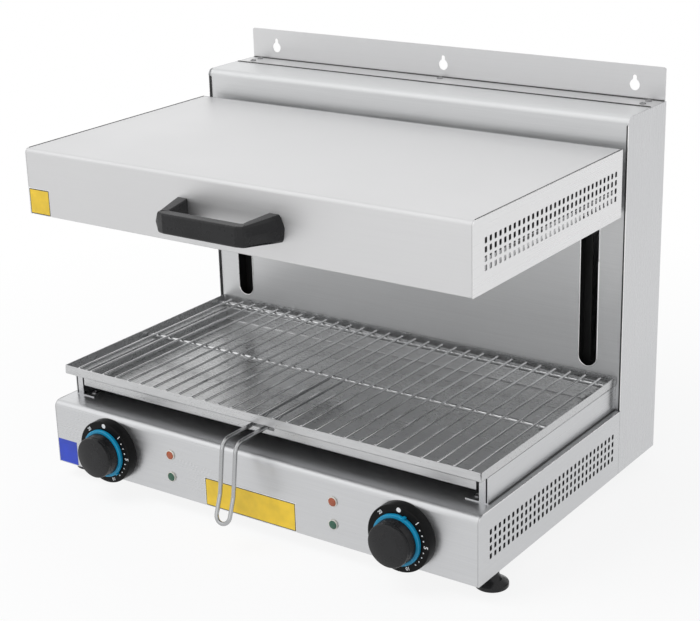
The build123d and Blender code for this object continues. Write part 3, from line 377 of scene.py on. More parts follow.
# %% Helpers for blanks
def blank(us, vs, holes=()):
    """A flat sheet over two lists of stations, with a ring in place of each holed cell."""
    us, vs = np.unique(np.round(us, 5)), np.unique(np.round(vs, 5))
    u, v = np.meshgrid(us, vs, indexing="ij")
    points, faces = grid(np.stack([u, v, np.zeros_like(u)], axis=-1))
    middle = points[faces].mean(axis=1)
    parts = []
    for u0, u1, v0, v1, shape in holes:
        across = (middle[:, 0] > u0) & (middle[:, 0] < u1)
        inside = across & (middle[:, 1] > v0) & (middle[:, 1] < v1)
        faces, middle = faces[~inside], middle[~inside]
        if shape is not None:
            near_u = us[(us >= u0 - 1e-4) & (us <= u1 + 1e-4)]
            near_v = vs[(vs >= v0 - 1e-4) & (vs <= v1 + 1e-4)]
            border = cell_border(near_u, near_v)
            parts.append(grid(np.stack([shape(border), border]), closed=True))
    return weld(*together((points, faces), *parts))


def round_corner(points, corner, radius, signs):
    """Draw a blank's square corner in to an arc.

    A point (a, b) of the unit square goes to (a sqrt(1 - b b / 2), b sqrt(1 - a a / 2)).
    """
    centre = np.array(corner) - np.array(signs) * radius
    a = (points[:, 0] - centre[0]) * signs[0] / radius
    b = (points[:, 1] - centre[1]) * signs[1] / radius
    near = (a > 0) & (b > 0)
    drawn = points.copy()
    drawn[near, 0] = centre[0] + signs[0] * radius * (a * np.sqrt(1 - b * b / 2))[near]
    drawn[near, 1] = centre[1] + signs[1] * radius * (b * np.sqrt(1 - a * a / 2))[near]
    return drawn


def fold(part, line):
    """Bend a blank: u stays on X, v becomes distance along a line of (y, z)."""
    points, faces = part
    far = lengths_along(line)
    y = np.interp(points[:, 1], far, line[:, 0])
    z = np.interp(points[:, 1], far, line[:, 1])
    return np.stack([points[:, 0], y, z], axis=1), faces


def mirrored_part(part):
    """The same part on the other side of the plane X = 0, its faces turned back outwards."""
    points, faces = part
    return points * [-1, 1, 1], faces[:, ::-1]


# %% [markdown]
# ## Brushed steel
# A belt sander leaves stainless steel covered in fine parallel scratches. They spread a
# reflection across the grain and keep it sharp along it. Noise stretched a hundredfold along
# the grain makes such scratches, and a second, soft noise adds the cloudy handling marks.

# %% Helpers for finishes
NOISE_LOW, NOISE_HIGH = 0.3, 0.7      # nearly all values of a noise lie between these


def node_material(name):
    """An empty node material with a Principled shader wired to its output."""
    material = bpy.data.materials.new(name)
    material.use_nodes = True
    tree = material.node_tree
    tree.nodes.clear()
    shader = tree.nodes.new("ShaderNodeBsdfPrincipled")
    out = tree.nodes.new("ShaderNodeOutputMaterial")
    tree.links.new(shader.outputs["BSDF"], out.inputs["Surface"])
    return material, tree, shader


def stretched_noise(tree, scale, detail=3.0, roughness=0.6):
    """Noise on the object's own coordinates, drawn out by a scale for each axis."""
    where = tree.nodes.new("ShaderNodeTexCoord")
    stretch = tree.nodes.new("ShaderNodeMapping")
    stretch.inputs["Scale"].default_value = scale
    noise = tree.nodes.new("ShaderNodeTexNoise")
    for socket, value in (("Scale", 1.0), ("Detail", detail), ("Roughness", roughness)):
        noise.inputs[socket].default_value = value
    tree.links.new(where.outputs["Object"], stretch.inputs["Vector"])
    tree.links.new(stretch.outputs["Vector"], noise.inputs["Vector"])
    return noise.outputs["Fac"]


def ranged(tree, value, low, high, from_low=NOISE_LOW, from_high=NOISE_HIGH):
    """A value spread between two limits: by default a noise's own range goes to them."""
    spread = tree.nodes.new("ShaderNodeMapRange")
    spread.inputs["From Min"].default_value = from_low
    spread.inputs["From Max"].default_value = from_high
    spread.inputs["To Min"].default_value = low
    spread.inputs["To Max"].default_value = high
    tree.links.new(value, spread.inputs["Value"])
    return spread.outputs["Result"]


def coloured(tree, value, dark, light):
    """A colour between two: dark (1 - value) + light value."""
    mix = tree.nodes.new("ShaderNodeMix")
    mix.data_type = "RGBA"
    tree.links.new(value, mix.inputs[0])
    mix.inputs[6].default_value = (*dark, 1)
    mix.inputs[7].default_value = (*light, 1)
    return mix.outputs[2]


def bumped(tree, shader, height, strength, distance):
    """Tilt the shader's normals as a height would, over a distance in metres."""
    bump = tree.nodes.new("ShaderNodeBump")
    bump.inputs["Strength"].default_value = strength
    bump.inputs["Distance"].default_value = distance
    tree.links.new(height, bump.inputs["Height"])
    tree.links.new(bump.outputs["Normal"], shader.inputs["Normal"])


# %% Steel finishes
CLOUD_SCALE = 5.0             # clouds per metre
CLOUD_ROUGHNESS = 0.04        # what the clouds add to or take from the roughness
SCRATCH_BUMP = 0.0003         # metres
ALONG_X, ALONG_Y, UPRIGHT = (9, 700, 700), (700, 9, 700), (700, 700, 9)


def brushed_steel(name, grey, rough, grain, depth=0.10, spread=0.05, metallic=0.95):
    """Steel with scratches along one axis: grain is the noise's scale on X, Y and Z.

    The grey moves by the spread either way and the roughness by 15 %, with the scratches.
    """
    material, tree, shader = node_material(name)
    scratches = stretched_noise(tree, grain, detail=4.0, roughness=0.7)
    clouds = stretched_noise(tree, (CLOUD_SCALE, CLOUD_SCALE, CLOUD_SCALE), detail=2.0)
    tone = ranged(tree, scratches, 0.0, 1.0)
    dark = tuple(channel * (1 - spread) for channel in grey)
    light = tuple(channel * (1 + spread) for channel in grey)
    tree.links.new(coloured(tree, tone, dark, light), shader.inputs["Base Color"])
    fine = ranged(tree, scratches, rough * 0.85, rough * 1.15)
    broad = ranged(tree, clouds, -CLOUD_ROUGHNESS, CLOUD_ROUGHNESS)
    tree.links.new(combined(tree, "ADD", fine, broad), shader.inputs["Roughness"])
    shader.inputs["Metallic"].default_value = metallic
    bumped(tree, shader, scratches, depth, SCRATCH_BUMP)
    return material


STEEL = (0.60, 0.605, 0.615)
PALE_STEEL = (0.66, 0.665, 0.67)
sheet_grain = {"depth": 0.05, "spread": 0.04}
hood_grain = {"depth": 0.04, "spread": 0.025}
steel_along_x = brushed_steel("steel_brushed_along_x", STEEL, 0.32, ALONG_X, **sheet_grain)
steel_along_y = brushed_steel("steel_brushed_along_y", STEEL, 0.30, ALONG_Y, **sheet_grain)
steel_upright = brushed_steel("steel_brushed_upright", STEEL, 0.30, UPRIGHT, **sheet_grain)
# Painted light: the column's front gets a paler steel with less metal in it, which lifts the shade in
# the gap under the hood.
steel_painted_light_front = brushed_steel(
    "steel_painted_light_front", PALE_STEEL, 0.46, ALONG_X, metallic=0.85, **sheet_grain
)
steel_hood = brushed_steel("steel_hood", (0.68, 0.68, 0.685), 0.48, (7, 600, 600), **hood_grain)
# Painted light: the hood's side plates get a paler copy of the hood steel, standing in for the light
# that falls on them.
steel_side_painted_bright = brushed_steel(
    "steel_side_painted_bright", (0.76, 0.76, 0.765), 0.30, (600, 7, 600), **hood_grain
)
print("sheet finishes:", steel_along_x.name, steel_painted_light_front.name, steel_hood.name)

# %% [markdown]
# ## Steel without a grain
# A pressed tray, drawn wire, zinc-plated brackets and the dark sheaths of the heaters were
# never sanded. They use the same finish with a coarser noise, mostly at one scale on all
# axes, so that it reads as a mottle, and they differ in grey and in roughness.

# %% Finishes for pressed, drawn and plated steel
steel_tray = brushed_steel(
    "steel_tray", (0.57, 0.573, 0.578), 0.29, (60, 400, 400),
    depth=0.05, spread=0.07, metallic=0.87,
)
steel_bright = brushed_steel(
    "steel_reflector", (0.72, 0.72, 0.73), 0.16, (300, 20, 300), depth=0.05
)
steel_zinc = brushed_steel(
    "steel_zinc", (0.45, 0.46, 0.47), 0.42, (90, 90, 90), depth=0.12, spread=0.14
)
steel_wire = brushed_steel("steel_wire", PALE_STEEL, 0.10, (60, 60, 60), depth=0.02)
# Painted reflection: the loop is the rack's own wire, given a much darker grey that stands in for the
# dark it reflects.
steel_painted_dark_loop = brushed_steel("steel_painted_dark_loop", (0.42, 0.425, 0.43), 0.09, (60, 60, 60), depth=0.02)
# Painted highlight: a much paler steel for the thin rims, so that the cut edges show as bright lines.
steel_highlight_rim = brushed_steel(
    "steel_highlight_rim", (0.85, 0.85, 0.85), 0.25, (60, 60, 60), depth=0.02, spread=0.03
)
steel_screw = brushed_steel(
    "steel_screw", (0.30, 0.30, 0.305), 0.25, (200, 200, 200), depth=0.04
)
steel_heater = brushed_steel(
    "steel_heater", (0.16, 0.155, 0.15), 0.48, (150, 150, 150), depth=0.2, spread=0.2
)
print("other finishes:", steel_tray.name, steel_wire.name, steel_heater.name)

# %% [markdown]
# ## Moulded plastic and small lamps
# The knobs, the bow handle and the feet are black phenolic plastic with a soft shine. Its
# surface is never quite flat, so a fine noise moves the roughness and tilts the surface a
# little. The lamp lenses are deep-coloured and glossy.

# %% Plastic finishes
FINE_SCALE = 400.0            # grain of a mould's surface, per metre
WEAR_SCALE = 30.0
MOULD_BUMP = 0.0002           # metres


def moulded(name, colour, rough, coat=0.0, shine=0.5):
    """A moulded or printed surface whose colour and roughness move a little with its wear."""
    material, tree, shader = node_material(name)
    texture = stretched_noise(tree, (FINE_SCALE, FINE_SCALE, FINE_SCALE), detail=2.0)
    wear = stretched_noise(tree, (WEAR_SCALE, WEAR_SCALE, WEAR_SCALE))
    dark = tuple(channel * 0.85 for channel in colour)
    light = tuple(min(1.0, channel * 1.15 + 0.003) for channel in colour)
    tone = ranged(tree, wear, 0.0, 1.0)
    tree.links.new(coloured(tree, tone, dark, light), shader.inputs["Base Color"])
    tree.links.new(ranged(tree, wear, rough * 0.85, rough * 1.2), shader.inputs["Roughness"])
    shader.inputs["Coat Weight"].default_value = coat
    shader.inputs["Specular IOR Level"].default_value = shine
    bumped(tree, shader, texture, 0.05, MOULD_BUMP)
    return material


black_plastic = moulded("plastic_black", (0.010, 0.010, 0.011), 0.26, shine=0.3)
black_plate = moulded("plate_black", (0.005, 0.005, 0.005), 0.36, shine=0.10)
black_paint = moulded("paint_black", (0.012, 0.012, 0.012), 0.5)
blue_plastic = moulded("plastic_blue", (0.004, 0.28, 0.50), 0.34, shine=0.4)
pale_plastic = moulded("plastic_pale", (0.72, 0.70, 0.64), 0.38)
slide_plastic = moulded("plastic_slide", (0.75, 0.75, 0.72), 0.45)
white_print = moulded("print_white", (0.85, 0.85, 0.85), 0.5)
orange_glass = moulded("lens_orange", (0.34, 0.06, 0.010), 0.15, coat=0.4)
green_glass = moulded("lens_green", (0.002, 0.09, 0.045), 0.15, coat=0.4)
yellow_label = moulded("label_yellow", (0.83, 0.56, 0.035), 0.42)
blue_label = moulded("label_blue", (0.02, 0.055, 0.50), 0.42)
# Dark print on the labels, and painted shade in the beads laid in the joints and along the hood.
dark_shade_and_print = moulded("print_and_shade_dark", (0.03, 0.03, 0.03), 0.5)
print("plastic finishes:", black_plastic.name, blue_plastic.name, pale_plastic.name)

# %% [markdown]
# ## Base cover
# The base is one sheet: it climbs the front, rolls over and runs back as the deck, a little
# way under the column. Two round holes let the knobs' spindles through. The whole sheet is a
# blank that is folded once, with close stations only in the roll and round the holes.

# %% Sizes of the casing
SHEET = 1.0                   # all the casing's steel
SEAM = 0.3                    # gap between neighbouring sheets
ROLL = 8.0                    # radius of the rolled edges
FOLD = 1.2                    # radius of a sharp fold
X_SIDE = 300.0
X_INSIDE = X_SIDE - SHEET - SEAM
Y_FRONT, Y_FASCIA, Y_SEAM, Y_BACK = -189.5, 136.5, 194.5, 231.5
Y_CHEEK = Y_FASCIA - 2.0      # the column's side plates stand a little proud
Z_BASE, Z_DECK, Z_TOP = 20.0, 100.0, 451.0
Z_MIDDLE = (Z_DECK + Z_TOP) / 2
DECK_TUCK = 20.0              # deck continued under the column
Z_CONTROLS = 57.5
KNOB_XS = (-209.0, 209.0)
SPINDLE_HOLE = 6.0
HOLE_END = 7.0                # stretch with close stations at each end of a long hole
print("casing:", 2 * X_SIDE, "wide,", Y_BACK - Y_FRONT, "deep,", Z_TOP - Z_BASE, "high")


# %% Base cover and deck
def sheet_piece(name, line, half, holes, material, body, stands_for):
    """Fold a symmetric blank of a half width along a (y, z) line and give it thickness.

    Each hole gets close stations at both its ends, where a long one is round.
    """
    stations = lengths_along(line)
    across = [evenly(-half, half, 8)]
    for u0, u1, v0, v1, _ in holes:
        across.append(evenly(u0, u1, 8))
        ends = [v0 + evenly(0, HOLE_END, 5), v1 - evenly(0, HOLE_END, 5)]
        stations = np.concatenate([stations, evenly(v0, v1, 8), *ends])
    folded = fold(blank(np.concatenate(across), stations, holes), line)
    part = thicken(*weld(*folded), SHEET)
    piece(name, part, material, body, [stands_for])


base_line = smooth_line([(Y_FRONT, Z_BASE), (Y_FRONT, Z_DECK), (Y_FASCIA + DECK_TUCK, Z_DECK)], [ROLL])
spindle_holes = [round_hole(x, Z_CONTROLS - Z_BASE, SPINDLE_HOLE) for x in KNOB_XS]
sheet_piece("base_cover", base_line, X_INSIDE, spindle_holes, steel_along_x, "casing", "base_shell")

# %% [markdown]
# ## Punched side plates
# A press punches four rows of small upright slots in each side plate, so hot air can leave.
# The lattice has one cell for each slot. Its ring of quads runs from the cell's border to the
# slot's rounded edge, so 124 holes cost only a few dozen faces each. One plate is worked out
# for the right side, and its mirror image serves the left.

# %% Punched side plates
VENT_PITCH, VENT_ROWS = 9.4, 4
VENT_START, VENT_END = 24.5, 13.0             # least metal ahead of and behind the slots
VENT_HALF_WIDTH, VENT_HALF_HEIGHT, VENT_CORNER = 2.3, 3.1, 0.9
HOOD_SIDE = 299.5
HOOD_FRONT, HOOD_BACK = -199.5, 122.5
HOOD_LOW, HOOD_TOP = 340.0, 418.0
HOOD_ROLL = 5.0


def vented_plate(front, back, low, high, radius, outer):
    """A right-hand plate at X = outer: rows of slots, and one round upper front corner."""
    columns = int((back - front - VENT_START - VENT_END) / VENT_PITCH) + 1
    first = front + VENT_START
    middle = (low + high) / 2
    cell = VENT_PITCH / 2
    holes = []
    for column in range(columns):
        for row in range(VENT_ROWS):
            u = first + column * VENT_PITCH
            v = middle + (row - (VENT_ROWS - 1) / 2) * VENT_PITCH
            holes.append(hole(u, v, VENT_HALF_WIDTH, VENT_HALF_HEIGHT, VENT_CORNER, cell, cell))
    half = VENT_ROWS * cell
    lattice_u = evenly(first - cell, first + (columns - 0.5) * VENT_PITCH, 4 * columns)
    lattice_v = evenly(middle - half, middle + half, 4 * VENT_ROWS)
    us = np.concatenate([evenly(front, front + radius, 6), lattice_u, [back]])
    vs = np.concatenate([[low], lattice_v, evenly(high - radius, high, 6)])
    points, faces = blank(us, vs, holes)
    points = round_corner(points, (front, high), radius, (-1, 1))
    placed = np.stack([np.full(len(points), outer), points[:, 0], points[:, 1]], axis=1)
    return thicken(placed, faces, SHEET)


def both_sides(name, part, material, body, node):
    """A right-hand plate and its mirror image, each in place of its own node."""
    for side, shape in (("right", part), ("left", mirrored_part(part))):
        piece(f"{name}_{side}", shape, material, body, [f"{node}_{side}"])


base_vents = vented_plate(Y_FRONT, Y_CHEEK - SEAM, Z_BASE, Z_DECK, ROLL, X_SIDE)
both_sides("base_vents", base_vents, steel_along_y, "casing", "base_side")
hood_vents = vented_plate(HOOD_FRONT, HOOD_BACK, HOOD_LOW, HOOD_TOP, HOOD_ROLL, HOOD_SIDE)
# Painted light: the side plates' paler steel stands in for the light on them.
both_sides("hood_vents", hood_vents, steel_side_painted_bright, "hood", "hood_side")

# %% [markdown]
# ## Column side plates
# A tall plain plate closes each side of the column. Its upper front corner follows the roll
# of the column's front, and a flange is folded in at its rear edge, for the back cover to be
# screwed to. A blank with one corner drawn in is all that it takes.

# %% Column side plates
CHEEK_FLANGE = 16.0
FLANGE_LOW, FLANGE_HIGH = Z_BASE + 12.3, Z_TOP - 2.3


def column_cheek():
    """The right-hand plate, and the flange folded in at its rear edge, facing the rear."""
    along_y = np.concatenate([evenly(Y_CHEEK, Y_CHEEK + ROLL, 6), [Y_BACK]])
    along_z = np.concatenate([[Z_BASE], evenly(Z_TOP - ROLL, Z_TOP, 6)])
    flat, faces = blank(along_y, along_z)
    flat = round_corner(flat, (Y_CHEEK, Z_TOP), ROLL, (-1, 1))
    plate = np.stack([np.full(len(flat), X_SIDE), flat[:, 0], flat[:, 1]], axis=1)
    span = np.array([X_SIDE - CHEEK_FLANGE, X_SIDE - SHEET])
    flange, flange_faces = blank(span, np.array([FLANGE_LOW, FLANGE_HIGH]))
    flange = flange[:, [0, 2, 1]] + [0, Y_BACK - SHEET - SEAM, 0]
    return together(thicken(plate, faces, SHEET), thicken(flange, flange_faces[:, ::-1], SHEET))


both_sides("column_cheek", column_cheek(), steel_upright, "casing", "column_side")

# %% [markdown]
# ## Column front
# The column's front panel stands on the deck and rolls over into the top. Two tall slots with
# round ends let the hood's arms travel. Each slot is a ring in the blank, as the punched
# holes are: the stations of its cell are drawn in to the slot's outline.

# %% Column front with its two slots
SLOT_XS = (-255.0, 255.0)
SLOT_LOW, SLOT_HIGH, SLOT_RADIUS = 148.0, 411.5, 12.0
SLOT_MARGIN = 8.0             # slot's edge to its cell's border
SLOT_END = 14.0               # stretch with close stations at each end
FASCIA_FOOT = 19.0            # folded-in foot that stands on the deck
Z_FOOT = Z_DECK + SEAM
TOP_GAP = 0.7                 # top's rear edge to the seam's line


def column_front():
    """The folded front: a height z lies at to_wall + z along its line."""
    corners = [
        (Y_FASCIA + FASCIA_FOOT, Z_FOOT), (Y_FASCIA, Z_FOOT),
        (Y_FASCIA, Z_TOP), (Y_SEAM - TOP_GAP, Z_TOP),
    ]
    line = smooth_line(corners, [FOLD, ROLL])
    to_wall = FASCIA_FOOT - corner_saving(FOLD) - Z_FOOT
    middle = (SLOT_LOW + SLOT_HIGH) / 2 + to_wall
    half = (SLOT_HIGH - SLOT_LOW) / 2
    slots = []
    for x in SLOT_XS:
        cell = (SLOT_RADIUS + SLOT_MARGIN, half + SLOT_MARGIN)
        slots.append(hole(x, middle, SLOT_RADIUS, half, SLOT_RADIUS, *cell))
    low, high = slots[0][2:4]
    across = [evenly(-X_INSIDE, X_INSIDE, 6)] + [evenly(s[0], s[1], 16) for s in slots]
    upward = [
        lengths_along(line), evenly(low, low + SLOT_END, 7),
        evenly(low + SLOT_END, high - SLOT_END, 8), evenly(high - SLOT_END, high, 7),
    ]
    part = blank(np.concatenate(across), np.concatenate(upward), slots)
    return thicken(*weld(*fold(part, line)), SHEET)


piece("column_front", column_front(), steel_painted_light_front, "casing", ["column_fascia"])

# %% [markdown]
# ## Back cover
# A plain cover closes the back of the column. Two groups of five upright slots let the warm
# air out, and a round hole low down takes the cable's gland. It is folded from a blank like
# the base cover, and its top edge is tucked in under the wall bracket.

# %% Back cover with its vents
Y_BACK_LIP, Z_BACK_LIP = Y_SEAM + 1.5, 448.0
GLAND_X, GLAND_Z, GLAND_HOLE = 200.0, 64.0, 8.3
BACK_VENT_XS = (-120.0, 120.0)
BACK_VENT_PITCH = 14.0
BACK_VENT_RADIUS, BACK_VENT_HALF = 2.5, 30.0
back_line = smooth_line([(Y_BACK_LIP, Z_BACK_LIP), (Y_BACK, Z_BACK_LIP), (Y_BACK, Z_BASE)], [FOLD])
to_back = Y_BACK - Y_BACK_LIP - corner_saving(FOLD) + Z_BACK_LIP
back_holes = [round_hole(GLAND_X, to_back - GLAND_Z, GLAND_HOLE, 6.0)]
for group in BACK_VENT_XS:
    for place in range(-2, 3):
        x, v = group + BACK_VENT_PITCH * place, to_back - Z_MIDDLE
        cell = (BACK_VENT_PITCH / 2, BACK_VENT_HALF + 4.0)
        back_holes.append(hole(x, v, BACK_VENT_RADIUS, BACK_VENT_HALF, BACK_VENT_RADIUS, *cell))
sheet_piece("back_cover", back_line, X_INSIDE, back_holes, steel_upright, "casing", "column_back_panel")

# %% [markdown]
# ## Wall bracket
# A strip along the top of the column turns up into a low wall with three keyholes. The large
# round of a keyhole passes over a screw's head, then the neck drops onto its shank. Seen from
# the middle of the round, every ray meets the edge once, so its distance is one formula.

# %% Keyholes
KEYHOLE_XS = (-260.0, 0.0, 260.0)
Z_KEYHOLE = 466.5
KEYHOLE_ROUND, KEYHOLE_NECK, KEYHOLE_LIFT = 6.5, 2.5, 9.3
KEYHOLE_CELL, KEYHOLE_CELL_TOP = 9.0, 16.0


def keyhole(x, v):
    """A keyhole for a blank: each border point is drawn in along its own ray to the edge.

    Along a ray at an angle from upright, the round lies at its radius R and the neck's
    straight side at (its half width) / sin(the angle), or at its round end nearer to upright.
    The edge is the larger of the two, with the corner between them eased by an eighth-power
    sum.
    """
    def shape(border):
        angle = np.arctan2(border[:, 0] - x, border[:, 1] - v)
        turn = np.minimum(np.abs(angle), math.pi / 2)
        sideways = KEYHOLE_LIFT * np.sin(turn)
        cap = KEYHOLE_LIFT * np.cos(turn) + np.sqrt(np.maximum(KEYHOLE_NECK**2 - sideways**2, 0))
        side = KEYHOLE_NECK / np.sin(np.maximum(turn, 0.01))
        neck = np.where(turn < math.atan2(KEYHOLE_NECK, KEYHOLE_LIFT), cap, side)
        reach = (KEYHOLE_ROUND**8 + neck**8) ** (1 / 8)
        return np.stack([x + reach * np.sin(angle), v + reach * np.cos(angle), 0 * angle], axis=1)
    return (x - KEYHOLE_CELL, x + KEYHOLE_CELL, v - KEYHOLE_CELL, v + KEYHOLE_CELL_TOP, shape)


print("keyholes at X", KEYHOLE_XS, "and Z", Z_KEYHOLE)

# %% Wall bracket
Y_STAND, Z_STAND = Y_BACK - SHEET, 490.0
BRACKET_CORNER = 3.0
BRACKET_FOLD = 0.2
GROOVE_WIDTH, GROOVE_DEPTH = 1.4, 1.7         # sunk line in front of the wall's foot
BRACKET_GAP = 0.5


def wall_strip():
    """The folded strip: a flange, the sunk line and the wall; z lies at to_stand + z."""
    corners = [
        (Y_SEAM + BRACKET_GAP, Z_TOP), (Y_STAND - GROOVE_WIDTH, Z_TOP),
        (Y_STAND - GROOVE_WIDTH, Z_TOP - GROOVE_DEPTH), (Y_STAND, Z_TOP - GROOVE_DEPTH),
        (Y_STAND, Z_STAND),
    ]
    line = smooth_line(corners, [BRACKET_FOLD] * 3)
    end = lengths_along(line)[-1]
    to_stand = end - Z_STAND
    holes = [keyhole(x, Z_KEYHOLE + to_stand) for x in KEYHOLE_XS]
    corner = evenly(0, BRACKET_CORNER, 5)
    across = [evenly(-X_INSIDE, X_INSIDE, 6), -X_INSIDE + corner, X_INSIDE - corner]
    across += [evenly(u0, u1, 24) for u0, u1, *_ in holes]
    upward = [lengths_along(line), evenly(holes[0][2], holes[0][3], 16), end - corner]
    points, faces = blank(np.concatenate(across), np.concatenate(upward), holes)
    for side in (-1, 1):
        points = round_corner(points, (side * X_INSIDE, end), BRACKET_CORNER, (side, 1))
    return thicken(*weld(*fold((points, faces), line)), SHEET)


# Painted light: the strip takes the hood's paler steel, which stands in for the light on its upright
# wall.
piece("wall_strip", wall_strip(), steel_hood, "casing", ["wall_bracket"])

# %% [markdown]
# ## Tubes along a path
# Wires, heaters, beads of grease and bright rims are all a circle carried along a path. The
# circle's axes are turned only as much as the path turns, so the tube never twists, and its
# ends are small domes. A curve with a bevel would do as well, but not with domed ends.

# %% Helpers for tubes
DOME = np.array([0.0, 0.5, 0.85, 1.0])        # rings of an end's dome, in shares of the radius


def tube(path, radius, sides=16):
    """Carry a circle along a path, keeping its first axis as straight as the path allows.

    Each ring is the path's point plus radius (cos a, sin a) in the plane across the path. In
    a dome the share s of the radius lies 1 - sqrt(1 - s s) radii in from the tip.
    """
    path = np.asarray(path, float)
    along = np.gradient(path, axis=0)
    along /= np.linalg.norm(along, axis=1, keepdims=True)
    first = np.cross(along[0], [0.31, 0.17, 0.93])
    axes = []
    for tangent in along:
        first = first - tangent * (first @ tangent)
        first = first / np.linalg.norm(first)
        axes.append(first)
    first = np.array(axes)
    second = np.cross(along, first)
    inward = radius * (1 - np.sqrt(1 - DOME[:, None] ** 2))
    path = np.concatenate([
        path[0] + along[0] * inward, path[1:-1], path[-1] - along[-1] * inward[::-1],
    ])
    middle = np.full(len(axes) - 2, float(radius))
    radii = np.concatenate([DOME * radius, middle, DOME[::-1] * radius])
    rings_at = np.concatenate([[0] * len(DOME), np.arange(1, len(axes) - 1), [-1] * len(DOME)])
    first, second = first[rings_at], second[rings_at]
    angle = np.linspace(0, 2 * math.pi, sides, endpoint=False)
    circle = first[:, None] * np.cos(angle)[:, None] + second[:, None] * np.sin(angle)[:, None]
    rings = path[:, None] + circle * radii[:, None, None]
    points, faces = weld(*grid(rings, closed=True))
    return points, faces[:, ::-1]


def straight_tube(start, end, radius, sides=16):
    """A tube between two places, with one ring halfway."""
    start, end = np.array(start, float), np.array(end, float)
    return tube([start, (start + end) / 2, end], radius, sides)


def edge_bead(start, end, radius):
    """A straight bead on the right and its twin on the left."""
    one = straight_tube(start, end, radius, 10)
    return together(one, mirrored_part(one))


print("a tube of 3 points has", len(straight_tube((0, 0, 0), (0, 0, 9), 1.0)[0]), "points")

# %% [markdown]
# ## Painted shade in the joints
# Seen from a low angle a gap in a flat top closes up, yet the photograph shows two crisp dark
# lines there, and more beside each side plate and along each rail's foot. A thin dark bead in
# each joint is painted shade: it stands in for the shadow in the gap, and shows as such a line
# from any side.

# %% Painted shade beads in the joints
BEAD, CHEEK_BEAD = 1.1, 1.3
X_BEAD_END = 298.0
Y_GROOVE = 229.5
X_RAIL_FOOT, Y_RAIL_FRONT, Y_RAIL_BACK = 292.6, -156.5, 136.0
# Painted shade: each dark bead stands in for the shadow in a joint's gap.
beads = []
for y in (Y_SEAM - 0.1, Y_GROOVE):
    beads.append(straight_tube((-X_BEAD_END, y, Z_TOP), (X_BEAD_END, y, Z_TOP), BEAD, 12))
for x in (SHEET - X_INSIDE, X_INSIDE - SHEET):
    ends = (x, Y_FASCIA, Z_DECK), (x, Y_FASCIA, Z_TOP - ROLL - 1.0)
    beads.append(straight_tube(*ends, CHEEK_BEAD, 12))
for x in (-X_RAIL_FOOT, X_RAIL_FOOT):
    ends = (x, Y_RAIL_FRONT, Z_DECK + SEAM), (x, Y_RAIL_BACK, Z_DECK + SEAM)
    beads.append(straight_tube(*ends, BEAD, 12))
piece("joint_shade_beads", together(*beads), dark_shade_and_print, "casing", smooth=60)

# %% [markdown]
# ## Painted highlights on the cut edges
# A cut edge catches the light, and it shows as a fine bright line round each slot and along
# each plate. A thin tube laid on the edge catches the light as that edge does, and its much
# paler steel is a painted highlight. Rounding every edge of the sheet would cost far more
# faces. Along the hood a dark bead inside the rim is painted shade in the seam.

# %% Rims with painted highlights, and a painted shade bead along the hood
SLOT_RIM, PLATE_RIM, HOOD_RIM, HOOD_BEAD = 0.8, 0.6, 0.5, 0.8
RIM_X, RIM_Y = X_SIDE - 0.5, Y_CHEEK + 0.2
HOOD_RIM_X, HOOD_SEAM_X = HOOD_SIDE - 0.3, HOOD_SIDE - SHEET - SEAM
PAST_ROLL = 0.5               # a rim starts this far behind a rolled corner
DECK_RIM = Y_FRONT + ROLL + PAST_ROLL, Y_CHEEK - 1.5
HOOD_EDGE = HOOD_FRONT + HOOD_ROLL + PAST_ROLL
HOOD_RIM_END, HOOD_SEAM_END = HOOD_BACK - 1.0, HOOD_BACK - 1.5
HOOD_RIM_Z, HOOD_SEAM_Z = HOOD_TOP - 0.3, HOOD_TOP - 0.2


def slot_rim(x):
    """A fine bead round a slot's cut edge: two half circles joined by straight runs."""
    t = evenly(0, math.pi, 18)[:, None]
    over, rise = SLOT_RADIUS * np.cos(t), SLOT_RADIUS * np.sin(t)
    top = np.hstack([x + over, 0 * t + Y_FASCIA, SLOT_HIGH - SLOT_RADIUS + rise])
    bottom = np.hstack([x - over, 0 * t + Y_FASCIA, SLOT_LOW + SLOT_RADIUS - rise])
    middle = [[x + SLOT_RADIUS, Y_FASCIA, (SLOT_LOW + SLOT_HIGH) / 2]]
    return tube(np.concatenate([middle, top, bottom, middle]), SLOT_RIM, 10)


# Painted highlight: the rims' pale steel draws the bright edge lines.
slot_highlight_rims = together(*[slot_rim(x) for x in SLOT_XS])
piece("slot_highlight_rims", slot_highlight_rims, steel_highlight_rim, "casing", smooth=60)
plate_highlight_rims = together(
    edge_bead(*[(RIM_X, y, Z_DECK - 0.2) for y in DECK_RIM], PLATE_RIM),
    edge_bead((RIM_X, RIM_Y, Z_DECK + 1.0), (RIM_X, RIM_Y, Z_TOP - ROLL - PAST_ROLL), PLATE_RIM),
)
piece("plate_highlight_rims", plate_highlight_rims, steel_highlight_rim, "casing", smooth=60)
rim_ends = [(HOOD_RIM_X, y, HOOD_RIM_Z) for y in (HOOD_EDGE, HOOD_RIM_END)]
piece("hood_highlight_rims", edge_bead(*rim_ends, HOOD_RIM), steel_highlight_rim, "hood", smooth=60)
# Painted shade: a dark bead inside the hood's rim stands in for the shadow in its seam.
seam_ends = [(HOOD_SEAM_X, y, HOOD_SEAM_Z) for y in (HOOD_EDGE, HOOD_SEAM_END)]
piece("hood_shade_beads", edge_bead(*seam_ends, HOOD_BEAD), dark_shade_and_print, "hood", smooth=60)

# %% [markdown]
# ## Hood cover
# The hood's front and top are one sheet with a tight roll, in a paler steel than the casing.
# Its lower front edge and its rear edge are folded in, which keeps the thin sheet straight.

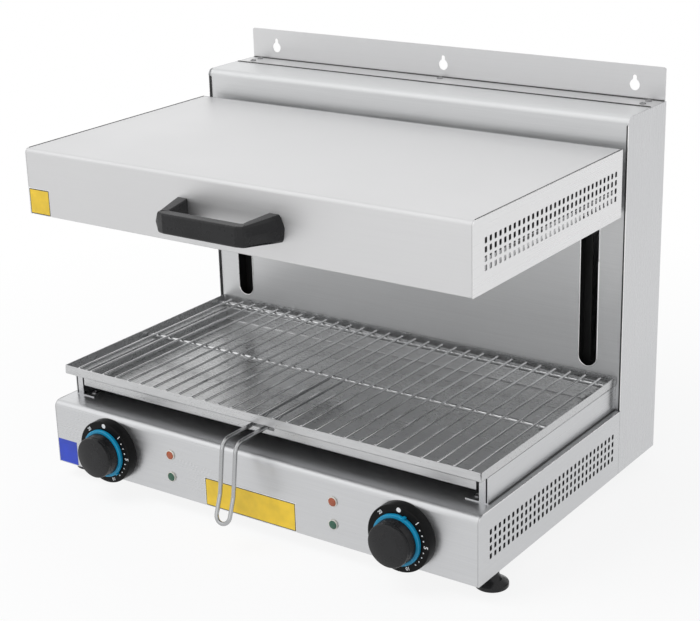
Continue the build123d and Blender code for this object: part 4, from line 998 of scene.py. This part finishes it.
# %% Hood cover
HOOD_RETURN = 14.0            # width of the folded-in edges
HOOD_REAR = HOOD_BACK - SHEET - SEAM
hood_corners = [
    (HOOD_FRONT + HOOD_RETURN, HOOD_LOW), (HOOD_FRONT, HOOD_LOW), (HOOD_FRONT, HOOD_TOP),
    (HOOD_REAR, HOOD_TOP), (HOOD_REAR, HOOD_TOP - HOOD_RETURN),
]
hood_line = smooth_line(hood_corners, [FOLD, HOOD_ROLL, FOLD])
sheet_piece("hood_cover", hood_line, HOOD_SEAM_X, [], steel_hood, "hood", "hood_shell")

# %% [markdown]
# ## Drip tray
# The tray is folded from one sheet: an upright rim, a flat ledge and a sunk pan. Four strips
# follow the same (inset, height) line and meet on the diagonals like a picture frame. The rim
# is a little short at its ends, which leaves the open slit of a folded corner. The front wall
# has a notch for the rack's handle.

# %% Sizes of the tray
TRAY_X, TRAY_FRONT, TRAY_BACK = 293.5, -173.5, 135.5
RIM_INSET, LEDGE_INSET, FLOOR_INSET = 1.0, 16.0, 24.0
Z_RIM, Z_LEDGE, Z_FLOOR = 142.5, 132.0, 113.7
RIM_SLIT, RIM_DEEP = 0.5, 9.0                 # a corner's half slit, and how far down it goes
NOTCH_HALF = 15.0
NOTCH_SILL = 5.2                              # wall left below the notch
NOTCH_TOP = Z_LEDGE - 0.5
tray_corners = [
    (RIM_INSET, Z_RIM), (RIM_INSET, Z_LEDGE), (LEDGE_INSET, Z_LEDGE),
    (LEDGE_INSET, Z_FLOOR), (FLOOR_INSET, Z_FLOOR),
]
tray_line = smooth_line(tray_corners, [FOLD, FOLD, 1.5])
tray_far = lengths_along(tray_line)
tray_middle = (TRAY_FRONT + TRAY_BACK) / 2
tray_half = (TRAY_BACK - TRAY_FRONT) / 2
notch = NOTCH_HALF / (TRAY_X - LEDGE_INSET)
print("rim to floor along the sheet:", tray_far[-1].round(1), "mm")


# %% Drip tray
def tray_strip(side, cut_notch=False):
    """One wall: u runs from -1 to 1 along it, and its half length shrinks with the inset."""
    us = np.concatenate([evenly(-1, 1, 10), [-notch, notch]])
    sill = tray_far[-1] - (FLOOR_INSET - LEDGE_INSET) - NOTCH_SILL
    ledge = np.interp(NOTCH_TOP, tray_line[::-1, 1], tray_far[::-1])
    gaps = [(-notch, notch, ledge, sill, None)] if cut_notch else []
    points, faces = blank(us, np.concatenate([tray_far, [sill, ledge]]), gaps)
    inset = np.interp(points[:, 1], tray_far, tray_line[:, 0])
    height = np.interp(points[:, 1], tray_far, tray_line[:, 1])
    short = inset + np.where(points[:, 1] < RIM_DEEP, RIM_SLIT, 0.0)
    if side in ("front", "back"):
        x = points[:, 0] * (TRAY_X - short)
        y = TRAY_FRONT + inset if side == "front" else TRAY_BACK - inset
    else:
        x = TRAY_X - inset if side == "right" else inset - TRAY_X
        y = tray_middle + points[:, 0] * (tray_half - short)
    turned_back = side in ("back", "left")
    return np.stack([x, y, height], axis=1), (faces[:, ::-1] if turned_back else faces)


def tray_floor():
    """The flat floor, with the strips' own stations, rounded as theirs, so that it welds."""
    stations = np.unique(np.round(np.concatenate([evenly(-1, 1, 10), [-notch, notch]]), 5))
    u, v = np.meshgrid(stations, stations, indexing="ij")
    x = u * (TRAY_X - FLOOR_INSET)
    y = tray_middle + v * (tray_half - FLOOR_INSET)
    return grid(np.stack([x, y, 0 * u + Z_FLOOR], axis=-1))


tray_skin = weld(*together(
    tray_strip("front", True), tray_strip("back"), tray_strip("right"), tray_strip("left"),
    tray_floor(),
))
piece("tray_pan", thicken(*tray_skin, SHEET), steel_tray, "tray", ["drip_tray"])

# %% [markdown]
# ## Wire rack
# Twenty-nine straight wires lie on three cross wires, and a long bent wire is the handle. It
# runs out under the rack, through the tray's notch and down in front, where it comes back on
# itself. One long wire is worked out once and set down twenty-nine times.

# %% Rack
RACK_HALF, WIRE_COUNT, WIRE_RADIUS = 276.3, 29, 1.6
WIRE_FRONT, WIRE_BACK, WIRE_Z = -167.5, 129.5, 138.95
CROSS_YS, CROSS_HALF, CROSS_RADIUS, CROSS_Z = (-163.5, -21.0, 121.5), 291.0, 2.5, 134.8
long_wire = straight_tube((0, WIRE_FRONT, WIRE_Z), (0, WIRE_BACK, WIRE_Z), WIRE_RADIUS, 12)
wires = [moved(long_wire, [x, 0, 0]) for x in np.linspace(-RACK_HALF, RACK_HALF, WIRE_COUNT)]
for y in CROSS_YS:
    wires.append(straight_tube((-CROSS_HALF, y, CROSS_Z), (CROSS_HALF, y, CROSS_Z), CROSS_RADIUS))
piece("rack_wires", together(*wires), steel_wire, "rack", ["wire_rack"], smooth=60)

# %% Loop handle of the rack
LOOP_HALF, LOOP_RADIUS, LOOP_BEND = 9.4, 2.5, 12.0
LOOP_TIP_BEND = LOOP_HALF - 0.05              # nearly a half circle at the loop's end
LOOP_MIDDLE = -1.8
loop_run = [
    (-15.0, 129.75), (-135.5, 129.75), (-149.5, 125.0), (-218.5, 125.0), (-227.5, 64.0),
    (-238.5, 34.0),
]
loop_corners = [(-LOOP_HALF, y, z) for y, z in loop_run]
loop_corners += [(LOOP_HALF, y, z) for y, z in reversed(loop_run)]
loop_bends = [LOOP_BEND] * 4 + [LOOP_TIP_BEND] * 2 + [LOOP_BEND] * 4
loop = moved(tube(smooth_line(loop_corners, loop_bends, step=10.0), LOOP_RADIUS), [LOOP_MIDDLE, 0, 0])
# Painted reflection: the loop's darker steel stands in for the dark it reflects.
piece("rack_loop", loop, steel_painted_dark_loop, "rack", ["rack_handle"], smooth=60)

# %% [markdown]
# ## Heating elements
# Each element is a steel tube with a hot wire inside. It runs to and fro under the hood in
# four straight legs, and both its ends turn up through the reflector. A route of corners with
# a generous bend in each gives the whole serpentine.

# %% Heating elements
HEATER_RADIUS, HEATER_BEND = 4.0, 16.0
HEATER_OUTER, HEATER_INNER = 273.5, 22.0
HEATER_Z, HEATER_STUB_Z = 356.0, 387.8
HEATER_LEGS, HEATER_FIRST, HEATER_SPACING = 4, -134.5, 64.0


def heater(side):
    """The tube along its route; side is -1 for the left and 1 for the right."""
    rows = [HEATER_FIRST + HEATER_SPACING * leg for leg in range(HEATER_LEGS)]
    route = [(HEATER_OUTER, rows[0], HEATER_STUB_Z), (HEATER_OUTER, rows[0], HEATER_Z)]
    for step, (here, after) in enumerate(zip(rows, rows[1:])):
        x = HEATER_OUTER if step % 2 else HEATER_INNER
        route += [(x, here, HEATER_Z), (x, after, HEATER_Z)]
    route += [(HEATER_OUTER, rows[-1], HEATER_Z), (HEATER_OUTER, rows[-1], HEATER_STUB_Z)]
    corners = [(side * x, y, z) for x, y, z in route]
    return tube(smooth_line(corners, [HEATER_BEND] * (len(corners) - 2)), HEATER_RADIUS, 20)


for name, side in (("left", -1), ("right", 1)):
    node = f"heating_element_{name}"
    piece(f"heater_{name}", heater(side), steel_heater, "hood", [node], smooth=60)

# %% [markdown]
# ## Turned pieces
# Knobs, feet, lamps and the gland are bodies of revolution. A short line of (radius, height)
# points is rounded at its corners and spun about an axis. Both ends of the line lie on that
# axis, or meet each other round a hole, so the body is closed.

# %% Helpers for turned pieces
TURNED_STEP = 15.0            # degrees between the samples of a small rounded corner


def turned(profile, radii, sides=64):
    """Spin a rounded (radius, height) line: (r cos a, r sin a, height)."""
    line = smooth_line(profile, radii, TURNED_STEP)
    angle = np.linspace(0, 2 * math.pi, sides, endpoint=False)
    r, height = line[:, 0, None], line[:, 1, None]
    rings = np.stack([r * np.cos(angle), r * np.sin(angle), height + 0 * angle], axis=-1)
    points, faces = weld(*grid(rings, closed=True))
    return points, faces[:, ::-1]


def facing_front(part, x, y, z):
    """Lay a turned part down so that its height runs towards the viewer, -Y."""
    points, faces = part
    return np.stack([points[:, 0] + x, y - points[:, 2], points[:, 1] + z], axis=1), faces


def facing_back(part, x, y, z):
    """Lay a turned part down so that its height runs to the rear, +Y."""
    points, faces = part
    return np.stack([points[:, 0] + x, y + points[:, 2], -points[:, 1] + z], axis=1), faces


print("a turned cone has", len(turned([(0, 0), (1, 0), (0, 1)], [0.1])[1]), "faces")

# %% [markdown]
# ## Knobs
# A knob is a black grip with a slightly crowned face and a thin groove near it, on a blue
# ring. The ring has a nib that points at the dial. The left knob is set far round its dial and
# the right one near the start, so the nib is turned and the round pieces needn't be.

# %% Knobs and their rings
DIAL_RADIUS, DIAL_THICK = 38.7, 13.5
DIAL_FACE = Y_FRONT - DIAL_THICK
RING_RADIUS, RING_BORE, RING_THICK = 29.5, 3.2, 4.3
RING_BACK = DIAL_FACE - 0.5
KNOB_BACK, KNOB_FRONT = RING_BACK - RING_THICK, -225.1
KNOB_LONG = KNOB_BACK - KNOB_FRONT
KNOB_SETTINGS = {"left": 137.0, "right": 20.0}
NIB_HALF, NIB_START, NIB_END = 1.5, 26.5, 31.1
grip_line = [
    (0, 0), (26.0, 0), (26.0, 1.2), (24.6, KNOB_LONG - 7.6), (24.0, KNOB_LONG - 7.6),
    (24.0, KNOB_LONG - 6.8), (25.2, KNOB_LONG - 6.8), (24.9, KNOB_LONG - 1.8),
    (14.0, KNOB_LONG - 0.2), (0, KNOB_LONG),
]
grip = turned(grip_line, [0.3, 0.5, 0.3, 0.2, 0.2, 0.3, 2.0, 60.0])
ring_line = [
    (RING_BORE, 0), (RING_RADIUS, 0), (RING_RADIUS, RING_THICK), (RING_BORE, RING_THICK),
    (RING_BORE, 0),
]
ring_turned = turned(ring_line, [0.5, 1.2, 0.2])


def nib(setting):
    """A small box on the ring's rim, turned clockwise by the setting in degrees."""
    points, faces = blank(np.array([-NIB_HALF, NIB_HALF]), np.array([NIB_START, NIB_END]))
    points, faces = thicken(points + [0, 0, RING_THICK - 0.1], faces, RING_THICK - 0.2)
    a = math.radians(-setting)
    turn = [[math.cos(a), math.sin(a), 0], [-math.sin(a), math.cos(a), 0], [0, 0, 1]]
    return points @ np.array(turn), faces


for x, (side, setting) in zip(KNOB_XS, KNOB_SETTINGS.items()):
    body = f"knob_{side}"
    cap = facing_front(grip, x, KNOB_BACK, Z_CONTROLS)
    piece(f"knob_cap_{side}", cap, black_plastic, body, [f"knob_grip_{side}"])
    collar = facing_front(together(ring_turned, nib(setting)), x, RING_BACK, Z_CONTROLS)
    piece(f"knob_collar_{side}", collar, blue_plastic, body, [f"knob_ring_{side}"])

# %% [markdown]
# ## Feet
# Each foot is a black bell with a threaded stem, screwed in or out until the machine stands
# level. It is one closed line spun about the stem, and four copies are set down.

# %% Levelling feet
FOOT_PLACES = {
    "front_left": (-290.0, -145.5), "front_right": (290.0, -145.5),
    "rear_left": (-255.0, 185.5), "rear_right": (255.0, 185.5),
}
foot_line = [
    (0, 0), (18.5, 0), (18.5, 4.6), (11.0, 9.4), (8.0, 14.0), (8.0, 19.7), (4.0, 19.7),
    (4.0, 35.7), (0, 35.7),
]
foot = turned(foot_line, [1.2, 2.0, 5.0, 3.0, 0.6, 0.3, 0.6])
for name, (x, y) in FOOT_PLACES.items():
    placed = moved(foot, [x, y, 0])
    node = f"foot_{name}"
    piece(f"levelling_{node}", placed, black_plastic, node, [node])

# %% [markdown]
# ## Dial plates, lamps and gland
# A black dial plate lies behind each knob, and beside it sit two pilot lamps in pale bezels,
# an orange one over a green one. At the back a gland waits for the cable. All are short
# turned lines, and pieces that are alike on the real machine share one object.

# %% Dial plates
DIAL_BORE = 7.0
dial_line = [
    (DIAL_BORE, 0), (DIAL_RADIUS, 0), (DIAL_RADIUS, DIAL_THICK), (DIAL_BORE, DIAL_THICK),
    (DIAL_BORE, 0),
]
dial = turned(dial_line, [0.2, 1.4, 0.3], sides=96)
dials = together(*[facing_front(dial, x, Y_FRONT, Z_CONTROLS) for x in KNOB_XS])
piece("dials", dials, black_plate, "casing", ["dial_plates"])

# %% Pilot lamps
LAMP_XS, LAMP_RISE = (-116.0, 116.0), 13.8
LAMP_HEIGHTS = {"orange": Z_CONTROLS + LAMP_RISE, "green": Z_CONTROLS - LAMP_RISE}
bezel_line = [(0, 0), (6.0, 0), (6.0, 1.6), (5.1, 1.6), (4.9, 1.2), (0, 1.2)]
bezel = turned(bezel_line, [0.3, 0.4, 0.1, 0.1], sides=40)
lens_line = [(0, 1.2), (4.9, 1.2), (4.9, 1.9), (3.2, 2.6), (0, 2.6)]
lens = turned(lens_line, [0.05, 0.3, 1.5], sides=40)
bezels = [facing_front(bezel, x, Y_FRONT, z) for x in LAMP_XS for z in LAMP_HEIGHTS.values()]
piece("lamp_rims", together(*bezels), pale_plastic, "casing", ["lamp_bezels"])
for colour, glass in (("orange", orange_glass), ("green", green_glass)):
    pair = together(*[facing_front(lens, x, Y_FRONT, LAMP_HEIGHTS[colour]) for x in LAMP_XS])
    node = f"lamp_lenses_{colour}"
    piece(f"lamp_glass_{colour}", pair, glass, "casing", [node])

# %% Cable gland
gland_line = [
    (5.0, -6.0), (8.0, -6.0), (8.0, 0), (11.0, 0), (11.0, 5.0), (8.6, 6.5), (8.0, 18.0),
    (5.0, 18.0), (5.0, -6.0),
]
gland = turned(gland_line, [0.3, 0.2, 0.5, 1.5, 1.0, 1.0, 0.8])
gland = facing_back(gland, GLAND_X, Y_BACK, GLAND_Z)
piece("gland", gland, black_plastic, "casing", ["cable_gland"])

# %% [markdown]
# ## Bow handle
# The handle is a stout bar on two legs that splay out to the hood. Each leg has a ridge along
# its outer side, the ridge fades out round the bend, and the bar's front is flat with narrow
# cut corners that catch the light. So the section changes as it is carried along a bent line.

# %% Sections of the bow handle
LEG_SECTION = np.array([
    (0.16, 1.0), (0.30, 0.99), (0.61, 0.76), (0.96, 0.06), (0.96, -0.06), (0.78, -0.80),
    (0.60, -0.99), (0.44, -1.0), (-0.90, -1.0), (-1.0, -0.94), (-1.0, 0.94), (-0.90, 1.0),
])
BAR_SECTION = np.array([
    (0.72, 1.0), (0.86, 0.975), (1.0, 0.84), (1.0, 0.06), (1.0, -0.06), (1.0, -0.86),
    (0.90, -0.98), (0.78, -1.0), (-0.85, -1.0), (-1.0, -0.88), (-1.0, 0.88), (-0.85, 1.0),
])
HANDLE_MIDDLE = -2.0
HANDLE_BENDS = [(65.5, HOOD_FRONT), (55.6, -240.4), (47.8, -243.0)]
HANDLE_REACH = 43.5
LEG_HALF_WIDTH, BAR_HALF_WIDTH = 10.6, 6.5
LEG_HALF_HEIGHT, BAR_HALF_HEIGHT = 14.9, 11.25
LEG_Z, BAR_Z = 376.6, 377.0
print("handle sections:", LEG_SECTION.shape, BAR_SECTION.shape)


# %% Bow handle
def bow_handle():
    """Carry a section from leg to bar and back along the bow.

    A point of the section is (wide, tall) in half widths and half heights. The two half sizes
    and the middle's height slide from the leg's value to the bar's with how far the line has
    left the hood, and the section changes where the line has turned. At a bend the direction
    across is stretched by 1 / cos(half the turn), as a mitre is.
    """
    corners = np.array([(-x, y) for x, y in HANDLE_BENDS] + HANDLE_BENDS[::-1])
    far = lengths_along(corners)
    stations = np.unique(np.concatenate([far, np.linspace(0, far[-1], 24)]))
    line = np.stack([np.interp(stations, far, corners[:, i]) for i in (0, 1)], axis=1)
    steps = np.diff(line, axis=0)
    steps /= np.linalg.norm(steps, axis=1, keepdims=True)
    both = np.concatenate([steps[:1] * 2, steps[:-1] + steps[1:], steps[-1:] * 2])
    across = np.stack([both[:, 1], -both[:, 0]], axis=1) * 2
    across /= (both**2).sum(axis=1, keepdims=True)
    reach = np.clip((HOOD_FRONT - line[:, 1]) / HANDLE_REACH, 0, 1)
    half_width = LEG_HALF_WIDTH + (BAR_HALF_WIDTH - LEG_HALF_WIDTH) * reach
    half_height = LEG_HALF_HEIGHT + (BAR_HALF_HEIGHT - LEG_HALF_HEIGHT) * reach
    middle = LEG_Z + (BAR_Z - LEG_Z) * reach
    facing = np.abs(across[:, 1]) / np.linalg.norm(across, axis=1)
    turned_share = np.clip((facing - 0.75) / 0.2, 0, 1)
    rings = []
    for leg, bar in zip(LEG_SECTION, BAR_SECTION):
        wide, tall = (leg[i] + (bar[i] - leg[i]) * turned_share for i in (0, 1))
        side = line + across * (wide * half_width)[:, None]
        rings.append(np.column_stack([side, middle + tall * half_height]))
    rings = np.stack(rings, axis=1)
    rings[[0, -1], :, 1] = HOOD_FRONT
    return rings


def closed_bow(rings):
    """The rings as one closed surface, with a flat cap of triangles on each leg's end."""
    centres = rings[[0, -1]].mean(axis=1, keepdims=True) + 0 * rings[[0, -1]]
    first_cap = grid(np.stack([centres[0], rings[0]]), closed=True)
    last_cap = grid(np.stack([rings[-1], centres[1]]), closed=True)
    points, faces = weld(*together(grid(rings, closed=True), first_cap, last_cap))
    return points, faces[:, ::-1]


handle = moved(closed_bow(bow_handle()), [HANDLE_MIDDLE, 0, 0])
piece("bow_grip", handle, black_plastic, "hood", ["hood_handle"], smooth=14)

# %% [markdown]
# ## Screws
# A cross-head screw is a low dome with a cross sunk in it. Modelling the cross by hand means
# many small faces, and here one formula over a disc of rings gives the whole surface. The
# heads are set down on the bracket's flange, on the back cover and on the rails' feet.

# %% Screws
SCREW_RADIUS, SCREW_HEIGHT = 3.8, 2.2
CROSS_HALF_WIDTH, CROSS_REACH, CROSS_DEPTH = 0.17, 0.62, 0.9
RAIL_SHEET = 1.2
X_FLANGE_SCREW, X_BACK_SCREW, X_RAIL_SCREW = 282.0, 292.0, 273.3
Y_FLANGE_FRONT, Y_FLANGE_BACK = Y_SEAM + 12.5, Y_SEAM + 28.0
BACK_ROWS = (-130, 0, 130)
RAIL_SCREW_YS = (-146.5, 125.2)


def screw():
    """A domed head: height (1 - 0.6 r r), less the cross where x or y is near the middle."""
    r = np.concatenate([evenly(0, 0.72, 12), [0.82, 0.92, 1.0, 1.0, 0.0]])
    angle = np.linspace(0, 2 * math.pi, 48, endpoint=False)
    x, y = r[:, None] * np.cos(angle), r[:, None] * np.sin(angle)
    dome = SCREW_HEIGHT * (1 - 0.6 * r**2)[:, None]
    nearer = np.minimum(np.abs(x), np.abs(y))
    farther = np.maximum(np.abs(x), np.abs(y))
    arm = np.clip((CROSS_HALF_WIDTH - nearer) / 0.06, 0, 1)
    z = dome - CROSS_DEPTH * arm * np.clip((CROSS_REACH - farther) / 0.1, 0, 1)
    z[-2:] = 0
    return weld(*grid(np.stack([x * SCREW_RADIUS, y * SCREW_RADIUS, z], axis=-1), closed=True))


head = screw()
flange_places = [(side * X_FLANGE_SCREW, Y_FLANGE_FRONT) for side in (-1, 1)]
flange_places += [(side * X_FLANGE_SCREW, Y_FLANGE_BACK) for side in (-1, 0, 1)]
heads = [moved(head, [x, y, Z_TOP]) for x, y in flange_places]
for x in (-X_BACK_SCREW, X_BACK_SCREW):
    heads += [facing_back(head, x, Y_BACK, Z_MIDDLE + row) for row in BACK_ROWS]
piece("casing_screws", together(*heads), steel_screw, "casing", ["cover_screws"])
rail_places = [(x, y) for x in (-X_RAIL_SCREW, X_RAIL_SCREW) for y in RAIL_SCREW_YS]
rail_heads = [moved(head, [x, y, Z_DECK + RAIL_SHEET]) for x, y in rail_places]
piece("tray_rail_screws", together(*rail_heads), steel_screw, "casing", ["rail_screws"])

# %% [markdown]
# ## Dial print
# The dials carry plain numbers and dots, printed white and too thin to feel. A number starts
# as Blender's own text, becomes a mesh at once, and only then is turned and moved, point by
# point, so that its object can stay at the origin like the rest.

# %% Helper for printed numbers
PRINT_THICK, PRINT_BOLD, PRINT_SINK = 0.05, 0.12, 0.03


def text_mesh(name, text, size):
    """A flat number, in metres, as a closed mesh: its doubled points are merged."""
    curve = bpy.data.curves.new(name, "FONT")
    curve.body = text
    curve.size = size * MM
    curve.align_x = "CENTER"
    curve.align_y = "CENTER"
    curve.extrude = PRINT_THICK * MM
    curve.offset = PRINT_BOLD * MM
    holder = bpy.data.objects.new(name, curve)
    bpy.context.scene.collection.objects.link(holder)
    bpy.context.view_layer.update()
    evaluated = holder.evaluated_get(bpy.context.evaluated_depsgraph_get())
    mesh = bpy.data.meshes.new_from_object(evaluated)
    bpy.data.objects.remove(holder)
    solid = bmesh.new()
    solid.from_mesh(mesh)
    bmesh.ops.remove_doubles(solid, verts=solid.verts, dist=0.004 * MM)
    bmesh.ops.recalc_face_normals(solid, faces=solid.faces)
    solid.to_mesh(mesh)
    solid.free()
    return mesh


def printed(name, text, size, x, z, turn):
    """A number on a dial plate: turned clockwise about its middle, then stood at (x, z)."""
    mesh = text_mesh(name, text, size)
    flat = np.zeros(len(mesh.vertices) * 3)
    mesh.vertices.foreach_get("co", flat)
    flat = flat.reshape(-1, 3)
    c, s = math.cos(-turn), math.sin(-turn)
    placed = np.stack([
        flat[:, 0] * c - flat[:, 1] * s + x * MM,
        (DIAL_FACE - PRINT_SINK) * MM - flat[:, 2],
        flat[:, 0] * s + flat[:, 1] * c + z * MM,
    ], axis=1)
    mesh.vertices.foreach_set("co", placed.reshape(-1))
    mesh.materials.clear()
    mesh.materials.append(white_print)
    made = bpy.data.objects.new(name, mesh)
    bpy.context.scene.collection.objects.link(made)
    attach(made, "casing")
    print(f"{name}: {len(mesh.vertices)} points")


# %% Dots and numbers
TOP_DOT = (3.0, 34.4, 2.8)                    # degrees clockwise from the top, reach, size
SMALL_DOTS = [(degrees, 32.8, 0.85) for degrees in (58, 69, 80, 104, 115, 126.5, 138)]
NUMBERS = (("1", 45, 34.6), ("5", 91.5, 34.8), ("10", 159, 33.6), ("20", 320, 33.8))
ONE_DIGIT, TWO_DIGITS = 7.2, 5.4


def on_dial(centre, degrees, reach):
    """A place on a dial: (reach sin a, reach cos a) from its centre, a from the top."""
    a = math.radians(degrees)
    return centre + reach * math.sin(a), Z_CONTROLS + reach * math.cos(a)


dot = turned([(0, 0), (1.0, 0), (1.0, 0.12), (0, 0.12)], [0.02, 0.05], sides=20)
for side, centre in zip(("left", "right"), KNOB_XS):
    marks = []
    for degrees, reach, size in [TOP_DOT] + SMALL_DOTS:
        x, z = on_dial(centre, degrees, reach)
        marks.append(facing_front((dot[0] * [size, size, 1], dot[1]), x, DIAL_FACE, z))
    piece(f"dial_dots_{side}", together(*marks), white_print, "casing")
    for text, degrees, reach in NUMBERS:
        size = ONE_DIGIT if len(text) == 1 else TWO_DIGITS
        x, z = on_dial(centre, degrees, reach)
        printed(f"dial_{text}_{side}", text, size, x, z, math.radians(degrees))

# %% [markdown]
# ## Blank labels
# Three coloured plates sit on the hood's corner and on the front of the base. They are plain,
# so that the part can stand for any maker's. Two of them have a dark line and a white margin
# round them, which are larger plates that each lie a little lower.

# %% Blank labels
MARGIN, DARK_LINE = 0.7, 1.0


def label(name, x0, x1, z0, z1, y, material, body, border=False):
    """A thin plate on a front face, with a white edge and a dark line where it is bordered."""
    def plate(inset, lift):
        """A plate drawn in by an inset all round, and as thick as it stands proud."""
        flat, faces = blank(np.array([x0 + inset, x1 - inset]), np.array([z0 + inset, z1 - inset]))
        return thicken(flat[:, [0, 2, 1]] + [0, y - lift, 0], faces, lift)
    if border:
        piece(f"{name}_rim", plate(-MARGIN, 0.12), white_print, body)
        piece(f"{name}_edge", plate(0, 0.17), dark_shade_and_print, body)
        piece(name, plate(DARK_LINE, 0.22), material, body)
    else:
        piece(name, plate(0, 0.2), material, body)


label("label_hood", -298.0, -267.0, 341.0, 371.0, HOOD_FRONT, yellow_label, "hood", border=True)
label("label_corner", -298.5, -268.5, 21.0, 51.0, Y_FRONT, blue_label, "casing")
label("label_front", -65.0, 64.0, 21.0, 55.0, Y_FRONT, yellow_label, "casing", border=True)

# %% [markdown]
# ## Solids that keep their shape
# Folded brackets, rods and hidden fittings are right as they are. They only change finish:
# each gets one of the materials above by its name.

# %% Finishes for the remaining solids
finishes = {
    "base_bottom_pan": steel_zinc, "energy_regulators": pale_plastic,
    "terminal_block": pale_plastic, "guide_rods": steel_wire, "rod_bracket_lower": steel_zinc,
    "rod_bracket_upper": steel_zinc, "hood_back_panel": steel_along_x,
    "reflector": steel_bright, "element_hangers": steel_bright,
    "carriage_crossbar": steel_zinc, "handle_screws": steel_screw,
}
paired_finishes = {
    "tray_rail": steel_along_y, "slot_channel": black_paint, "lift_spring": steel_wire,
    "lift_arm": steel_zinc, "carriage": slide_plastic, "knob_spindle": steel_wire,
}
for name, finish in paired_finishes.items():
    finishes[f"{name}_left"] = finish
    finishes[f"{name}_right"] = finish
for name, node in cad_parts.items():
    for spot in node.material_slots:
        spot.material = finishes.get(name, steel_along_x)
print("solids with a finish of their own:", len(finishes))

# %% [markdown]
# ## Floor
# A pale floor catches the soft shadow under the feet. It glows in the camera's own rays, and
# more so with distance, so it fades into the white room and still keeps the shadow.

# %% Floor
FLOOR_HALF = 6.0
FADE_START, FADE_END, LEAST_GLOW = 0.35, 1.1, 0.86


def matt(name, grey):
    """A rough material of one grey, for the studio's own sheets."""
    material, tree, shader = node_material(name)
    shader.inputs["Base Color"].default_value = (grey, grey, grey, 1)
    shader.inputs["Roughness"].default_value = 0.9
    return material, tree, shader


def stage_sheet(name, corners, material):
    """One flat sheet of the studio, from four corners in metres."""
    mesh = bpy.data.meshes.new(name)
    mesh.from_pydata(corners, [], [(0, 1, 2, 3)])
    mesh.materials.append(material)
    sheet = bpy.data.objects.new(name, mesh)
    bpy.context.scene.collection.objects.link(sheet)
    return sheet


floor_material, floor_tree, floor_shader = matt("floor_pale", 0.9)
surface = floor_shader.outputs["BSDF"].links[0].to_socket
floor_rays = floor_tree.nodes.new("ShaderNodeLightPath").outputs
floor_seen = combined(floor_tree, "MAXIMUM", floor_rays["Is Camera Ray"], floor_rays["Is Glossy Ray"])
floor_place = floor_tree.nodes.new("ShaderNodeTexCoord")
floor_reach = floor_tree.nodes.new("ShaderNodeVectorMath")
floor_reach.operation = "LENGTH"
floor_tree.links.new(floor_place.outputs["Object"], floor_reach.inputs[0])
fade = ranged(floor_tree, floor_reach.outputs["Value"], LEAST_GLOW, 1.0, FADE_START, FADE_END)
floor_glow = combined(floor_tree, "MULTIPLY", floor_seen, fade)
white_glow = glowing(floor_tree, "ShaderNodeEmission", (1, 1, 1), 1.0)
floor_tree.links.new(mixed(floor_tree, floor_glow, floor_shader.outputs["BSDF"], white_glow), surface)
floor_corners = [(x * FLOOR_HALF, y * FLOOR_HALF, 0) for x, y in ((-1, -1), (1, -1), (1, 1), (-1, 1))]
stage_sheet("floor", floor_corners, floor_material)
print("floor:", 2 * FLOOR_HALF, "m across")

# %% [markdown]
# ## A black flag
# In an all-white room a round wire has no edges. A photographer stands a black flag out of
# the picture, and its reflection draws a dark line along the metal. This one stands behind
# the machine on its right, and it is hidden from the camera, so that only metal shows it.

# %% Flag
FLAG_X, FLAG_NEAR, FLAG_FAR, FLAG_LOW, FLAG_HIGH = 1.9, 1.3, 5.5, 0.4, 2.2
flag_corners = [
    (FLAG_X, FLAG_NEAR, FLAG_LOW), (FLAG_X, FLAG_FAR, FLAG_LOW),
    (FLAG_X, FLAG_FAR, FLAG_HIGH), (FLAG_X, FLAG_NEAR, FLAG_HIGH),
]
flag = stage_sheet("flag", flag_corners, matt("flag_black", 0.02)[0])
flag.visible_camera = False
print("flag:", FLAG_FAR - FLAG_NEAR, "by", round(FLAG_HIGH - FLAG_LOW, 2), "m")

# %% [markdown]
# ## Finish
# The colours go to the picture as they are, with no film curve.

# %% Picture settings
bpy.context.scene.view_settings.view_transform = "Standard"
